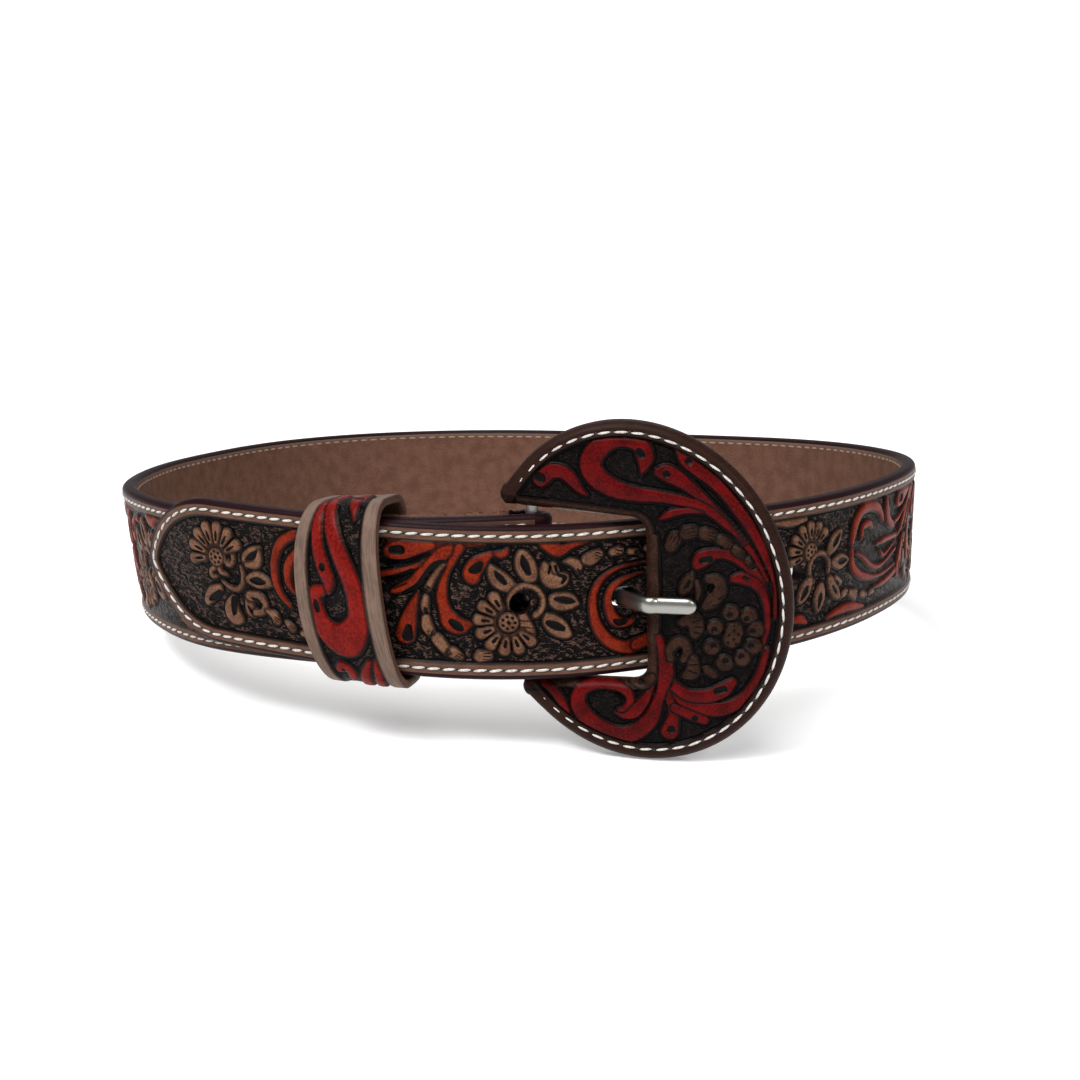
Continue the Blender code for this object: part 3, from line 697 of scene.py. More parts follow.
# Strokes are rows of across, up and half width, in chart millimetres
# Middle of the front, right of the keeper
CENTRE = [
    ("R", [(-28, 13.4, 1.7), (-22, 14.2, 1.4), (-14, 14.4, 1.0), (-7, 14.6, 0.5)]),
    ("R", [(-28.6, 11.6, 1.9), (-26.5, 12, 2.6), (-23, 13, 2), (-19, 13.9, 1.2)]),
    ("D", [(-28, 12.1, 1.1), (-26.3, 12.3, 1.2)]),
    ("R", [(-31, 6, .9), (-28, 6.6, .9), (-24, 8, .7), (-20.5, 9.6, .8), (-17, 12, 1.5), (-14, 13.8, 1)]),
    ("R", [(-28.5, 1.8, .7), (-26, 3, 1.2), (-23.5, 4.6, 1.3), (-21.5, 6.6, 1.5), (-19, 9.6, 1.4),
           (-16.5, 11.8, 1.8), (-14, 13.4, 1.2)]),
    ("D", [(-30, 8.9, .9), (-25, 9.3, .8), (-21.5, 10.8, .6), (-19.5, 11.6, .35)]),
    ("D", [(-30, 4.6, .8), (-26.5, 5.8, .7), (-23.6, 7.6, .4)]),
    ("C", [(-28, 2.6, .2), (-25, 4.2, .25)]),
    ("D", [(-26, 1.5, .5), (-22.5, 3.6, .8), (-20.5, 6.3, .8), (-18.4, 9.2, .7), (-16.2, 10.3, .35)]),
    ("R", [(-22.4, 2.2, .25), (-23.3, 0, .9), (-24.4, -3, 1.6), (-25.3, -6.5, 2.2), (-25.8, -8.6, 2.4)]),
    ("D", [(-24.9, -6.6, .8), (-25.2, -8.8, 1.4)]),
    ("R", [(-12.5, 13.6, 1.2), (-13.8, 11, .8), (-14.2, 10.5, 1), (-15.6, 7.5, .75), (-16.6, 4.5, 1.1),
           (-16.9, 1, 1.4), (-16.2, -2, 1.6), (-15, -4.6, 2.3), (-13.4, -5.6, 2.2), (-11.8, -5.4, 1.4),
           (-10.2, -5, .4)]),
    ("D", [(-14.8, -4.6, .8), (-13.6, -5.6, 1.1), (-12.8, -6.2, .8)]),
    ("R", [(-3.2, 12.9, .3), (-6, 11.8, .9), (-8.6, 9.6, 2), (-9.9, 7.6, 2.1), (-9.9, 6.6, 2)]),
    ("D", [(-7.9, 9.8, .8), (-8.9, 8.6, 1.2), (-9.8, 8.2, .9)]),
    ("R", [(-4.6, 12.2, .3), (-3.4, 12, .9), (-2.2, 12.4, .9), (-1.6, 13.4, .6)]),
    ("R", [(6.5, 14.2, .6), (9.5, 13.2, 1.7), (11, 12.8, 1.5), (14, 13.9, .8), (18, 14.5, .25)]),
    ("R", [(32, 8.3, .3), (29, 8, .4), (25.4, 7.4, .55), (22.2, 5.9, .75), (20, 3.6, .95), (18.9, .6, 1.1),
           (18.9, -2.6, 1.2), (19.6, -5.8, 1.4), (21.2, -8.8, 1.6), (24, -11.4, 1.6), (27.2, -12.6, 1.7),
           (30, -12.2, 1.9), (32.5, -11, 1.2)]),
    ("R", [(32, 5.9, .3), (29, 5.2, .5), (26, 4.2, .8), (23.6, 2.2, 1.1), (22.9, -.6, 1.35),
           (23.2, -3.2, 1.35),
           (24.6, -5.6, 1.5), (26.6, -6.4, 1.2), (28.6, -6.2, .8), (29.3, -4.9, .35)]),
    ("D", [(24.2, -5.4, .4), (25.4, -6.1, .9), (27, -6, .7)]),
    ("T", [(1.6, -2.6, 1), (2.2, -4.6, 1.5), (3, -6.6, 1.6), (3.8, -8.2, .8)]),
    ("C", [(.6, -4, .16), (3.6, -4.4, .16)]),
    ("C", [(1, -5.6, .16), (4.2, -6, .16)]),
    ("C", [(1.8, -7.2, .16), (4.6, -7.4, .16)]),
    ("T", [(-5.6, 9.4, .5), (-4.9, 7.6, 1.6), (-3.6, 6, 2.3), (-2, 4.8, 2), (-.4, 4.4, 1)]),
    ("D", [(-4.6, 8, .3), (-3.6, 6.6, .8), (-2.4, 5.2, .6)]),
    ("T", [(1.8, 12.8, .5), (2, 11.4, 1.9), (2.6, 9.2, 2.6), (3.4, 7.2, 2.2), (3.6, 5.9, 1)]),
    ("D", [(1.8, 11.9, .3), (2.3, 9.8, 1), (3.2, 7.6, .7)]),
    ("T", [(7.2, 9.2, 1), (7.6, 7.2, 1.9), (8.8, 5.6, 2.2), (11, 5.6, 1.9), (12, 6.2, 1.2)]),
    ("T", [(9.2, 9.4, .9), (9.8, 8, 1)]),
    ("D", [(8.4, 8.8, .4), (8, 7.4, .35)]),
    ("D", [(9.6, 9, .4), (10, 7.6, .35)]),
    ("D", [(10.4, 6.8, .4), (12, 6.2, .5), (11.2, 4.9, .4)]),
    ("T", [(9, 1, 1.2), (10.4, .3, 2.3), (12.6, .2, 2.2), (14.2, -.2, 1.2), (15.3, -.6, .4)]),
    ("D", [(9.4, 1, .4), (11.2, .7, .9), (13, .3, .8), (14.2, .1, .3)]),
    ("T", [(7.6, -3.2, .9), (8.4, -4.6, 2.1), (10.2, -6.2, 2.4), (12, -7.6, 1.5), (13.2, -8.2, .5)]),
    ("D", [(7.6, -4.8, .7), (9.4, -5.6, 1.1), (11.2, -6.4, .7)]),
]
CENTRE += fan(-1.7, -4.6, 118, 318, 8, ring=4.2, reach=7.6)
CENTRE += calyx(2.6, 0.4, 4.0, 200, -60)
CENTRE += segments([
    [(-16.2, 9.2, .5), (-17.8, 7.5, .8), (-19.2, 5.2, .9), (-20.2, 3.2, .9)],
    [(-20.6, 1, .9), (-21, -1.2, 1.1), (-20.8, -2.3, 1)],
    [(-20.7, -4.2, 1.2), (-20.5, -6.2, 1.5), (-19.6, -7.8, 1.2)],
    [(-18.2, -9.2, 1.6), (-17, -10.8, 1.5), (-15.8, -12.4, 1.1)],
    [(-14.6, -12.4, 1.6), (-13.4, -13.2, 1.2)],
    [(-8.5, -13, 1.6), (-6.8, -12.9, 1.4)],
    [(11.6, 9.9, .3), (13.6, 9.9, 1.1), (15.2, 8.9, 1.3), (15.4, 7.4, .8)],
    [(17.4, 10.2, 1.4), (18.6, 10.4, 1.8), (20.4, 11.2, 1.4)],
    [(24, 11.4, 1), (25.8, 11.8, 1.3)],
    [(28.6, 11.2, .9), (30.4, 11.1, .8)],
])

# Right of the buckle
RIGHT = [
    ("T", [(69, 14, .8), (74, 13.6, 1.2), (79, 13.9, .7)]),
    ("R", [(75, -12.4, .8), (78, -12.2, 1.4), (80.5, -13.6, .6)]),
    ("R", [(89, -13.8, .6), (95, -12.8, 1.3), (101, -12.9, 1.4), (108, -14, .7)]),
    ("R", [(99.6, 3, .5), (99.9, 6.2, 1.3), (101.6, 10.2, 1.6), (105, 12.8, 1.6), (110, 13.2, 1.6),
           (114.4, 12, 1.5), (117.2, 9.6, 1.2), (118.6, 7.6, .5)]),
    ("R", [(99.6, 2.6, .9), (100.4, -1.4, 1.2), (103.6, -4.2, 1.3), (108.4, -6, 1.2), (114, -7, .9),
           (120, -7.2, .7), (130, -6.2, .6)]),
    ("R", [(102, 1.6, .5), (106, -.2, .8), (111, -3.2, .9), (116, -4.6, .9), (121, -4.2, .8),
           (130, -1.8, .8)]),
    ("R", [(104.4, 4.6, .6), (105.4, 8, 1.0), (108.8, 8.6, 1.2), (111.2, 7, .5)]),
    ("D", [(105.4, 4.2, .6)]),
    ("R", [(120.6, 14.2, .6), (121.2, 10.6, 1.6), (123.4, 7, 1.5), (128, 5.4, 1.1), (132, 6.2, .6)]),
    ("D", [(122.8, 12.4, .8), (123.4, 11.6, .8)]),
    ("R", [(114.6, 2, .5), (121.8, 2.2, 1.0), (131, 2.2, .9)]),
    ("R", [(117, .2, .4), (120.2, -2, .8), (125.4, -.8, .7), (130, .6, .5)]),
    ("R", [(114.6, -10, .5), (122, -9.8, 1.1), (131, -8.2, 1.1), (134, -7, .8)]),
]
RIGHT += fan(81.4, 5.0, 40, 225, 8, ring=4.0, reach=7.6)
RIGHT += calyx(85, 0.2, 4.0, 235, -20)
RIGHT += leaf(88.4, 3.4, 94.4, 9.6, 2.2)
RIGHT += leaf(90.2, .8, 98.8, .4, 2.2)
RIGHT += leaf(86.2, -4.2, 84.6, -12.2, 2.3, hollow=0.4)
RIGHT += leaf(81.6, -2, 77, -8.6, 2.2)
RIGHT += [
    ("T", [(89.6, -3.4, 1.2), (91, -5.4, 2.0), (92.6, -7.6, 1.8), (94.2, -9, .9)]),
    ("T", [(92.4, -3.6, .9), (94.4, -5.2, 1.1)]),
    ("D", [(90.8, -5.6, .5), (92.4, -7.4, .5)]),
    ("D", [(93.6, -5.4, .35), (92.6, -4.4, .3)]),
]
RIGHT += segments([
    [(95.4, -9.4, .7), (97.2, -8.4, 1.2), (98.4, -8.6, .8)],
    [(100, -9, 1.2), (102.4, -9.8, 1.7), (103.6, -10.2, 1.1)],
    [(106.4, -10.4, 1.0), (109, -11, 1.2)],
    [(111.6, -11, .9), (113.8, -11, 1.0)],
])

# Between the two, behind the buckle on the front length
MIDDLE = [
    ("R", [(30, -12.2, 1.6), (36, -9.8, 1.7), (42, -5.2, 1.6), (47, .5, 1.4), (51, 6, 1.1), (55.5, 10.5, .9),
           (60, 12.9, .5)]),
    ("R", [(36, -13.4, .6), (43, -10.8, 1.2), (49, -6.2, 1.3), (54, -1, 1.1), (58, 4, .9), (62, 8, .5)]),
    ("R", [(32, 8.3, .4), (36, 7.8, .7), (39.5, 5.2, .9), (41.6, 1.2, .7), (42, -1, .3)]),
    ("R", [(38.6, 11.8, 1.2), (42.4, 11.6, 2.0), (46, 9.6, 1.7), (48, 6.4, .9), (48.4, 4.4, .3)]),
    ("D", [(41.8, 11.8, .8), (43.4, 11.4, .8)]),
    ("R", [(60.2, 1, .3), (60.8, -3, 1.0), (61.4, -6.8, 1.7), (61.8, -9.4, 1.9)]),
    ("D", [(61.3, -7.4, .6), (61.6, -9.2, 1.0)]),
    ("R", [(50, -13.6, .5), (54, -11.2, 1.2), (56.8, -7.4, 1.1), (57.8, -4, .4)]),
    ("R", [(63, 13.8, .5), (66, 10.4, 1.1), (66.6, 6, 1.0), (65.4, 2.4, .4)]),
]
MIDDLE += segments([
    [(33, 11.6, .9), (35, 12, 1.0)],
    [(64.8, -12.4, .9), (67, -12, 1.2)],
    [(69, -10.4, .9), (70.4, -8.4, 1.1)],
    [(70.6, -5.6, .9), (70.2, -3, 1.1)],
    [(69.4, -.4, .8), (68.6, 1.8, .9)],
])

# The pointed tip
TIP = [
    ("T", [(-77.2, 4.6, 1.0), (-77.4, 6.2, .9), (-75.8, 7.2, .8), (-74.4, 6.2, .8), (-74.4, 4, .8),
           (-75.8, 2.9, .9),
           (-77, 3.8, .8)]),
    ("D", [(-75.9, 5.0, .75)]),
    ("T", [(-80.6, 1.6, .8), (-82, .4, .8), (-81.4, -.9, .8), (-80, -.6, .5)]),
    ("T", [(-79, 2, .9), (-78.6, .6, .8), (-76.6, .1, .6)]),
    ("T", [(-72.0, 3, .5), (-71.4, .8, .8), (-71.8, -1.6, .9), (-73.6, -3.2, .9), (-76.2, -3, .7),
           (-78.4, -1.8, .5)]),
    ("C", [(-73.4, 1.6, .2), (-72.2, 1.8, .15)]),
    ("C", [(-73.6, 0, .2), (-72.2, -.2, .15)]),
    ("C", [(-74.2, -1.2, .2), (-73, -2, .15)]),
    ("C", [(-75.4, -1.6, .2), (-75, -2.8, .15)]),
    ("T", [(-70.4, 2.7, .4), (-70.2, 5.2, 1.4), (-68, 6.7, 1.9), (-65.6, 8.6, .6)]),
    ("T", [(-70, 3.6, .8), (-66.8, 4.3, 1.3), (-65.8, 7.4, .8)]),
    ("D", [(-70, 5, .3), (-68, 6.2, .9), (-66.6, 7.4, .4)]),
    ("T", [(-69.4, -.1, 1.4), (-67, .1, 2.3), (-64.6, -.2, 1.8), (-62.9, -.5, .8)]),
    ("D", [(-68.8, -.2, .5), (-66.6, -.1, 1.1), (-64.6, -.2, .5)]),
    ("T", [(-70.2, -5, 1.4), (-69.8, -8, 1.7), (-69, -9, 1.2)]),
    ("T", [(-69.6, -4.4, 1.5), (-66.6, -4.4, 1.4), (-65, -5.8, 1.0), (-66, -8, 1.0), (-68.4, -8.6, 1.0)]),
    ("D", [(-68.8, -4.9, .4), (-66.9, -5.4, .6), (-67.4, -7.2, .4)]),
    ("D", [(-70.3, -7.2, .35), (-69.4, -8.6, .5)]),
    ("T", [(-75.2, -5.6, 1.0), (-76, -8.6, 2.4), (-75.2, -10.4, 2.5), (-73.4, -11, 1.4)]),
    ("D", [(-74.9, -6, .9), (-75, -8.8, .9), (-75.2, -9.8, .5)]),
    ("T", [(-79.6, -3.8, 1.2), (-82, -5.4, 2.0), (-84, -7.6, 1.4), (-84.2, -8.6, .6)]),
    ("D", [(-79.4, -4.6, .6), (-81.4, -6.2, .9), (-83, -7.2, .5)]),
    ("R", [(-44.6, 12.6, 1.0), (-41.6, 10.6, 1.2), (-39.4, 6.6, 1.2), (-39, 1.4, 1.1), (-40.4, -2.6, 1.0),
           (-43, -5.4, .7)]),
    ("R", [(-44.6, 8.4, .8), (-43, 4.4, 1.2), (-43, .6, 1.1), (-44.6, -2, .6)]),
]
TIP += fan(-79.8, 4.4, 30, 190, 7, ring=4.1, reach=8.6)
TIP += segments([
    [(-64.6, -7.6, .6), (-62.4, -8.4, 1.3), (-61.8, -9.6, 1.4)],
    [(-58.8, -9.6, .7), (-57.2, -11, 1.3)],
    [(-54, -12, .9), (-52, -12.4, 1.0)],
])
TIP += [
    ("R", [(-55, 13.2, 1.3), (-59, 10.6, 1.4), (-61.2, 6, 1.3), (-61.4, 1, 1.2), (-59.8, -2.8, 1.0),
           (-57, -5.6, .6)]),
    ("R", [(-55, 8.4, 1.0), (-57.2, 5, 1.4), (-57.4, .8, 1.2), (-55.6, -1.8, .6)]),
]

# Buckle, in the plate: right and up from the oval's middle
BUCKLE = [
    ("R", [(-22.5, 27.5, 2), (-20, 29.5, 2), (-17, 29.3, 1.8), (-15, 27.5, 1.6), (-13, 25, 1),
           (-11.5, 23.8, .4)]),
    ("D", [(-23, 28.2, 1.15), (-22.3, 27.8, 1.1)]),
    ("R", [(33, -6, .7), (33, 2, .9), (31, 8, 1.2), (28, 14.5, 1.4), (24, 20.5, 1.5), (20, 25.5, 1.5),
           (16, 29, 1.7), (12.7, 32, 2), (11, 34, 1.2)]),
    ("D", [(12.8, 31.9, .95)]),
    ("R", [(31, 3, .6), (28, 9, .8), (24, 14.2, 1), (20, 18.8, 1.1), (16, 23, 1.3), (12, 26.5, 1.7),
           (8, 29, 2.2), (5.5, 29.3, 1.1)]),
    ("D", [(7.6, 28.9, .95)]),
    ("R", [(26, 12, .4), (22, 16, .9), (17, 20.3, 1.2), (12, 22.2, 1.4), (6, 23.4, 1.6), (0, 24.1, 2),
           (-5, 25.5, 2.4), (-9, 28.2, 2.7), (-10.4, 31.5, 2.7), (-8.6, 34.8, 2.6), (-5, 36.4, 1.6),
           (-1, 36.6, 1.6),
           (1.6, 35.6, 2.0), (2.6, 33.4, 2.2), (2.4, 31.1, 1.4), (1.6, 28.8, .3)]),
    ("D", [(1.2, 34.3, .9), (1.9, 33.5, .9)]),
    ("R", [(6, 18, .5), (8.5, 19.3, 1.1), (12, 20, .9), (16, 19.6, .4)]),
    ("R", [(31, -3, 1.1), (29.5, 2, 1.3), (27, 6, 1.4), (23, 8.9, 1.3), (19, 9.6, 1.4), (15.8, 8.3, 2.1),
           (14.5, 6.6, 1.1)]),
    ("D", [(15.8, 8, .85), (17.6, 8.4, .85)]),
    ("R", [(29.6, -14, .6), (31, -9, .8), (31, -4, .9), (30, 0, 1.1), (28, 2.4, 1.4), (25, 3.6, 1.5),
           (23, 3.4, .9)]),
    ("D", [(25.6, 3.9, .45), (26.8, 3.4, .4)]),
    ("R", [(31, -14, .9), (29, -20.5, 1.1), (25.5, -26, 1.5), (20.5, -28.6, 1.9), (14.5, -28, 2.0),
           (10, -25.4, 1.6),
           (7.6, -22, 1.3)]),
    ("R", [(8, -22, 1.3), (12, -25, 1.6), (17, -25.3, 1.8), (20.5, -24, 2.0), (22.8, -22, 1.2)]),
    ("D", [(19.2, -24.1, .9), (20.8, -23.6, .9)]),
    ("R", [(7.2, -25, 1.0), (8.8, -29, 1.4), (8.4, -32, 1.8), (7.9, -34.2, 2.3)]),
    ("R", [(9, -28.4, 1.2), (12.5, -30, 1.3), (16.2, -31.4, 1.2)]),
    ("D", [(8.2, -33.7, 1.0)]),
    ("D", [(13.9, -30.8, .8)]),
    ("R", [(5.4, -11, .9), (6.2, -14, 1.3), (7, -17.5, 1.9), (7, -20.5, 2), (6, -24, 1.4), (5, -27, 1.5),
           (3.4, -31, 2.0), (0, -34.4, 2.2), (-4, -35.4, 2.2), (-8.5, -34, 2.2), (-12.5, -31, 2.2),
           (-14.4, -27.4, 2.0), (-13.2, -24, 1.8), (-9.6, -22.8, 1.5), (-5.6, -23, 1.4), (-2.6, -24.4, 1.3),
           (-1.6, -26.6, 1.2), (-2.6, -28.6, 1.1), (-4.4, -29.4, .8)]),
    ("R", [(3.6, -23.4, .8), (1.8, -26.6, 1.4), (-.6, -29.6, 1.6), (-3.2, -30.6, .8), (-5.4, -29.8, .3)]),
    ("D", [(-4.6, -25.4, .9), (-3.5, -26.2, .9)]),
    ("R", [(-23, -22.6, .9), (-19.8, -25.4, 1.3), (-17.6, -29, 1.1), (-16.2, -32.6, .5)]),
    ("T", [(-.6, -21.4, 1.6), (1.6, -22.6, 1.6), (3.6, -21, 1.2)]),
    ("D", [(1, -22.2, .75)]),
]
# The daisy: petals, their hollows, the centre and its beads
BUCKLE += dots("T", [(22.5, -4.8, 2.1), (26.8, -5.6, 2.1), (28.4, -9, 2.1), (27.8, -13, 2.2),
                     (25.2, -16, 2.1), (21, -17.2, 2.2), (18, -13.2, 2.1), (18.8, -8.4, 2.1)])
BUCKLE += dots("D", [(22.3, -5.2, .75), (26.2, -6.2, .7), (27.6, -9.2, .75), (27.2, -12.8, .8),
                     (25, -15.4, .75), (21.2, -16.6, .8), (18.4, -12.8, .8), (18.6, -8.8, .75)])
BUCKLE += [("T", [(23.3, -9.4, 2.3), (22.7, -11.4, 2.2)])]
BUCKLE += dots("D", [(23.3, -9, .35), (24.3, -10, .35), (22.1, -10.2, .35), (23.2, -11.2, .35),
                     (21.8, -12, .35), (23.7, -12.4, .35)])
# Leaves and shells round the daisy
BUCKLE += [
    ("T", [(11.2, .4, 1.2), (12.2, 2.2, 1.8), (13.2, 4, 1.0), (13.6, 5, .4)]),
    ("D", [(12, 1.4, .5), (12.8, 3, .4)]),
    ("T", [(14.6, 2.4, .8), (14.9, .6, .9), (14.6, -1.4, .6)]),
    ("T", [(16.6, -3.2, 1.2), (18.2, -1.8, 1.9), (19.8, .8, 1.9), (19.4, 3, 1.6), (17.2, 3.4, 1.1)]),
    ("D", [(18, 1.6, .8), (17.6, .4, .5)]),
    ("C", [(19.6, -1.4, .2), (21, -.4, .16)]),
    ("C", [(18.2, -3, .2), (19.8, -2.6, .16)]),
    ("T", [(11.2, -7, 1.4), (13.2, -6.2, 1.8), (14.4, -8, 2.0), (14, -10, 1.4)]),
    ("C", [(13.6, -7, .2), (15.6, -6.4, .16)]),
    ("C", [(14, -8.2, .2), (16, -8.2, .16)]),
    ("C", [(13.8, -9.4, .2), (15.4, -10, .16)]),
    ("T", [(8.2, -16.2, 1.0), (8.6, -13.6, 1.7), (10.6, -12.2, 1.7), (12.2, -14, 1.3), (11.2, -16.4, 1.0)]),
    ("D", [(9.4, -14.8, .8), (10.4, -13.8, .7)]),
    ("T", [(13.6, -16.6, 1.4), (13.4, -19.4, 1.9), (11.6, -20.4, 1.0)]),
    ("C", [(12.6, -17.6, .18), (14.8, -17.4, .16)]),
    ("C", [(12.2, -19, .18), (14.4, -19.6, .16)]),
    ("T", [(16.8, -19, 1.1), (18.4, -20, 1.2)]),
]
BUCKLE += segments([
    [(8.5, 11.5, 1.7), (9.4, 13.2, 1.9)],
    [(12.1, 14.6, 1.8), (13.7, 15, 1.7)],
    [(16.6, 14.4, 1.7), (18, 14, 1.6)],
    [(20.4, 12.8, 1.5), (21.8, 12, 1.4)],
    [(23.8, 10.4, 1.3), (25, 9.4, 1.2)],
    [(26.6, 7.8, 1.0), (27.6, 6.6, .8)],
])

# Keeper: across from its middle line, and height along its face
KEEPER = [
    ("R", [(-4.2, 24, 1.4), (-3.8, 21, 1.4), (-3.0, 17.5, 1.4), (-.9, 12.6, 1.6), (1.6, 7.8, 1.8),
           (3.6, 3.6, 1.9),
           (4.4, -.6, 1.95), (4.0, -4.2, 2.3), (1.4, -7.2, 3.2), (-1.6, -7.5, 3.2), (-4.2, -5.0, 2.4),
           (-5.1, -1.8, 2.0), (-5, .6, 1.6), (-3, 1.4, 1.0)]),
    ("R", [(-5.6, 19.5, .7), (-5.2, 16, 1.2), (-4.4, 12, 1.4), (-3.4, 8.4, 1.5), (-2.2, 5.4, 1.6),
           (-1.2, 3.2, 1.4),
           (-1.4, 1.6, .8)]),
    ("D", [(-2.4, 5.6, .8)]),
    ("D", [(-4.8, -.8, .7), (-4.6, -2.0, .7)]),
    ("R", [(1.6, 25, 1.5), (2.0, 21.6, 1.9), (2.8, 18.6, 1.7), (3.8, 15.6, .8), (4.2, 13.8, .3)]),
    ("D", [(1.6, 20.6, .6), (2.8, 19.8, .9), (3.6, 19.4, .5)]),
    ("R", [(-4.4, -13.8, .8), (-2.6, -13.0, 1.3), (-1.2, -14.2, 1.2), (-2.2, -15.8, .9)]),
    ("D", [(-2.8, -13.7, .5)]),
    ("R", [(4.2, -11.6, .6), (2.0, -14.6, 1.2), (.4, -18.2, 1.4), (-.6, -22, 1.3), (-.8, -25, 1.2)]),
    ("R", [(5.8, -11.4, .6), (4.6, -16, 1.2), (3.4, -20, 1.3), (2.8, -25, 1.3)]),
]


# Meshes

def add_object(name, data):
    """A new object in the scene."""
    made = bpy.data.objects.new(name, data)
    bpy.context.scene.collection.objects.link(made)
    return made


def standing(points):
    """Points moved from the level loop to the belt as it stands."""
    base = np.array(BASE)
    return points @ base[:3, :3].T + base[:3, 3]


def add_values(mesh, attributes):
    """Values by vertex: the chart as vectors, the others as single numbers."""
    for key, values in attributes.items():
        kind, field = ("FLOAT_VECTOR", "vector") if key == "chart" else ("FLOAT", "value")
        layer = mesh.attributes.new(key, kind, "POINT")
        layer.data.foreach_set(field, np.asarray(values, np.float32).ravel())


def grid_object(name, points, attributes, caps=False):
    """A skin over a grid of points, with its values by vertex. The second axis closes on itself."""
    n, m = points.shape[:2]
    flat = standing(points.reshape(-1, 3))
    i, j = np.meshgrid(np.arange(n - 1), np.arange(m), indexing="ij")
    k = (j + 1) % m
    quads = np.stack((i * m + j, i * m + k, (i + 1) * m + k, (i + 1) * m + j), axis=-1).reshape(-1, 4)
    loops, starts, sizes = [quads.ravel()], [np.arange(len(quads)) * 4], [np.full(len(quads), 4)]
    if caps:
        loops += [np.arange(m)[::-1], (n - 1) * m + np.arange(m)]
        starts.append(np.array([len(quads) * 4, len(quads) * 4 + m]))
        sizes.append(np.array([m, m]))
    loops, starts, sizes = np.concatenate(loops), np.concatenate(starts), np.concatenate(sizes)
    mesh = bpy.data.meshes.new(name)
    mesh.vertices.add(len(flat))
    mesh.vertices.foreach_set("co", flat.astype(np.float32).ravel())
    mesh.loops.add(len(loops))
    mesh.loops.foreach_set("vertex_index", loops.astype(np.int32))
    mesh.polygons.add(len(starts))
    mesh.polygons.foreach_set("loop_start", starts.astype(np.int32))
    mesh.polygons.foreach_set("loop_total", sizes.astype(np.int32))
    mesh.update(calc_edges=True)
    mesh.validate()
    add_values(mesh, attributes)
    work = bmesh.new()
    work.from_mesh(mesh)
    bmesh.ops.recalc_face_normals(work, faces=work.faces)
    work.to_mesh(mesh)
    work.free()
    mesh.shade_smooth()
    if caps:
        mesh.set_sharp_from_angle(angle=math.radians(55.0))
    return add_object(name, mesh)


def finish_piece(thing, surface, node=None):
    """Give a piece its material and its body, and hide the solid it stands for."""
    thing.data.materials.clear()
    thing.data.materials.append(surface)
    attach(thing, "root")
    if node:
        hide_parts(node)


def section_rows(width, thick, face_step, back_step):
    """Rows round the strap's section: across, outward, share of the carving, and zone.

    The zone is 0 on the face, 1 on the edge, 1.4 on the back's corners and 2 on the back.
    """
    radius = STRAP_EDGE_RADIUS
    flat = width / 2 - radius
    a = thick / 2 - radius
    face_count = max(int(round(2 * flat / face_step)), 4)
    back_count = max(int(round(2 * flat / back_step)), 3)
    turns = [(radius * math.sin(math.pi / 2 * k / 5), radius * math.cos(math.pi / 2 * k / 5),
              math.pi / 2 * k / 5) for k in range(1, 5)]
    rows = [(b, thick / 2, 1.0, 0.0) for b in np.linspace(-flat, flat, face_count + 1)]
    rows += [(flat + s, a + c, math.cos(angle), 1.0) for s, c, angle in turns]
    rows += [(flat + radius, a, 0.0, 1.0), (flat + radius, -a, 0.0, 1.0)]
    rows += [(flat + c, -a - s, 0.0, 1.4) for s, c, _ in turns]
    rows += [(b, -thick / 2, 0.0, 2.0) for b in np.linspace(flat, -flat, back_count + 1)]
    rows += [(-flat - s, -a - c, 0.0, 1.4) for s, c, _ in turns]
    rows += [(-flat - radius, -a, 0.0, 1.0), (-flat - radius, a, 0.0, 1.0)]
    rows += [(-flat - c, a + s, math.sin(angle), 1.0) for s, c, angle in turns]
    return np.array(rows)


def tip_outline():
    """Points along the strap's edge round the tip, in chart millimetres."""
    back = np.concatenate((np.linspace(0, 1, 60) ** 1.6 * TIP_TAPER_LENGTH, [TIP_TAPER_LENGTH * 3]))
    upper = [(CHART_START - (WHOLE - d) / MM, tip_width(d) / 2 / MM) for d in back]
    lower = [(x, -y) for x, y in upper[1:]]
    return np.array(upper[::-1] + lower)


TIP_EDGE = tip_outline()


def edge_distance(x, y):
    """Distance in from the strap's edge, in chart millimetres."""
    rim = STRAP_WIDTH / 2 / MM - np.abs(y)
    near = np.nonzero(x < TIP_EDGE[:, 0].min() + TIP_CHART_REACH)
    if len(near[0]):
        rim[near] = np.minimum(rim[near], line_distance(x[near], y[near], TIP_EDGE))
    return rim


def stitch_groove(rim, at):
    """The pressed groove along a stitch row."""
    return -GROOVE_DEPTH * np.exp(-((rim - at) / GROOVE_WIDTH) ** 2)


def relief_values(relief, rim, zone):
    """What the leather's material reads at each vertex."""
    return {
        "chart": np.stack((relief.x, relief.y, np.zeros_like(relief.x)), axis=-1),
        "raised": relief.up, "red": relief.red, "cut": relief.edge, "hollow": relief.hollow,
        "fleck": relief.fleck, "rim": rim, "zone": zone,
    }


def strap_ways(way_from, way_to, step):
    """Ways along one length, closer together at the point."""
    ways = np.linspace(way_from, way_to, int(round((way_to - way_from) / step)) + 1)
    if way_to > WHOLE - 1e-6:
        nose = WHOLE - TIP_TAPER_LENGTH * np.linspace(NOSE_SHARE, 0, 12)[1:] ** 1.6
        nose_from = WHOLE - TIP_TAPER_LENGTH * NOSE_SHARE ** 1.6
        ways = np.concatenate((ways[ways < nose_from - step / 3], nose))
    return ways


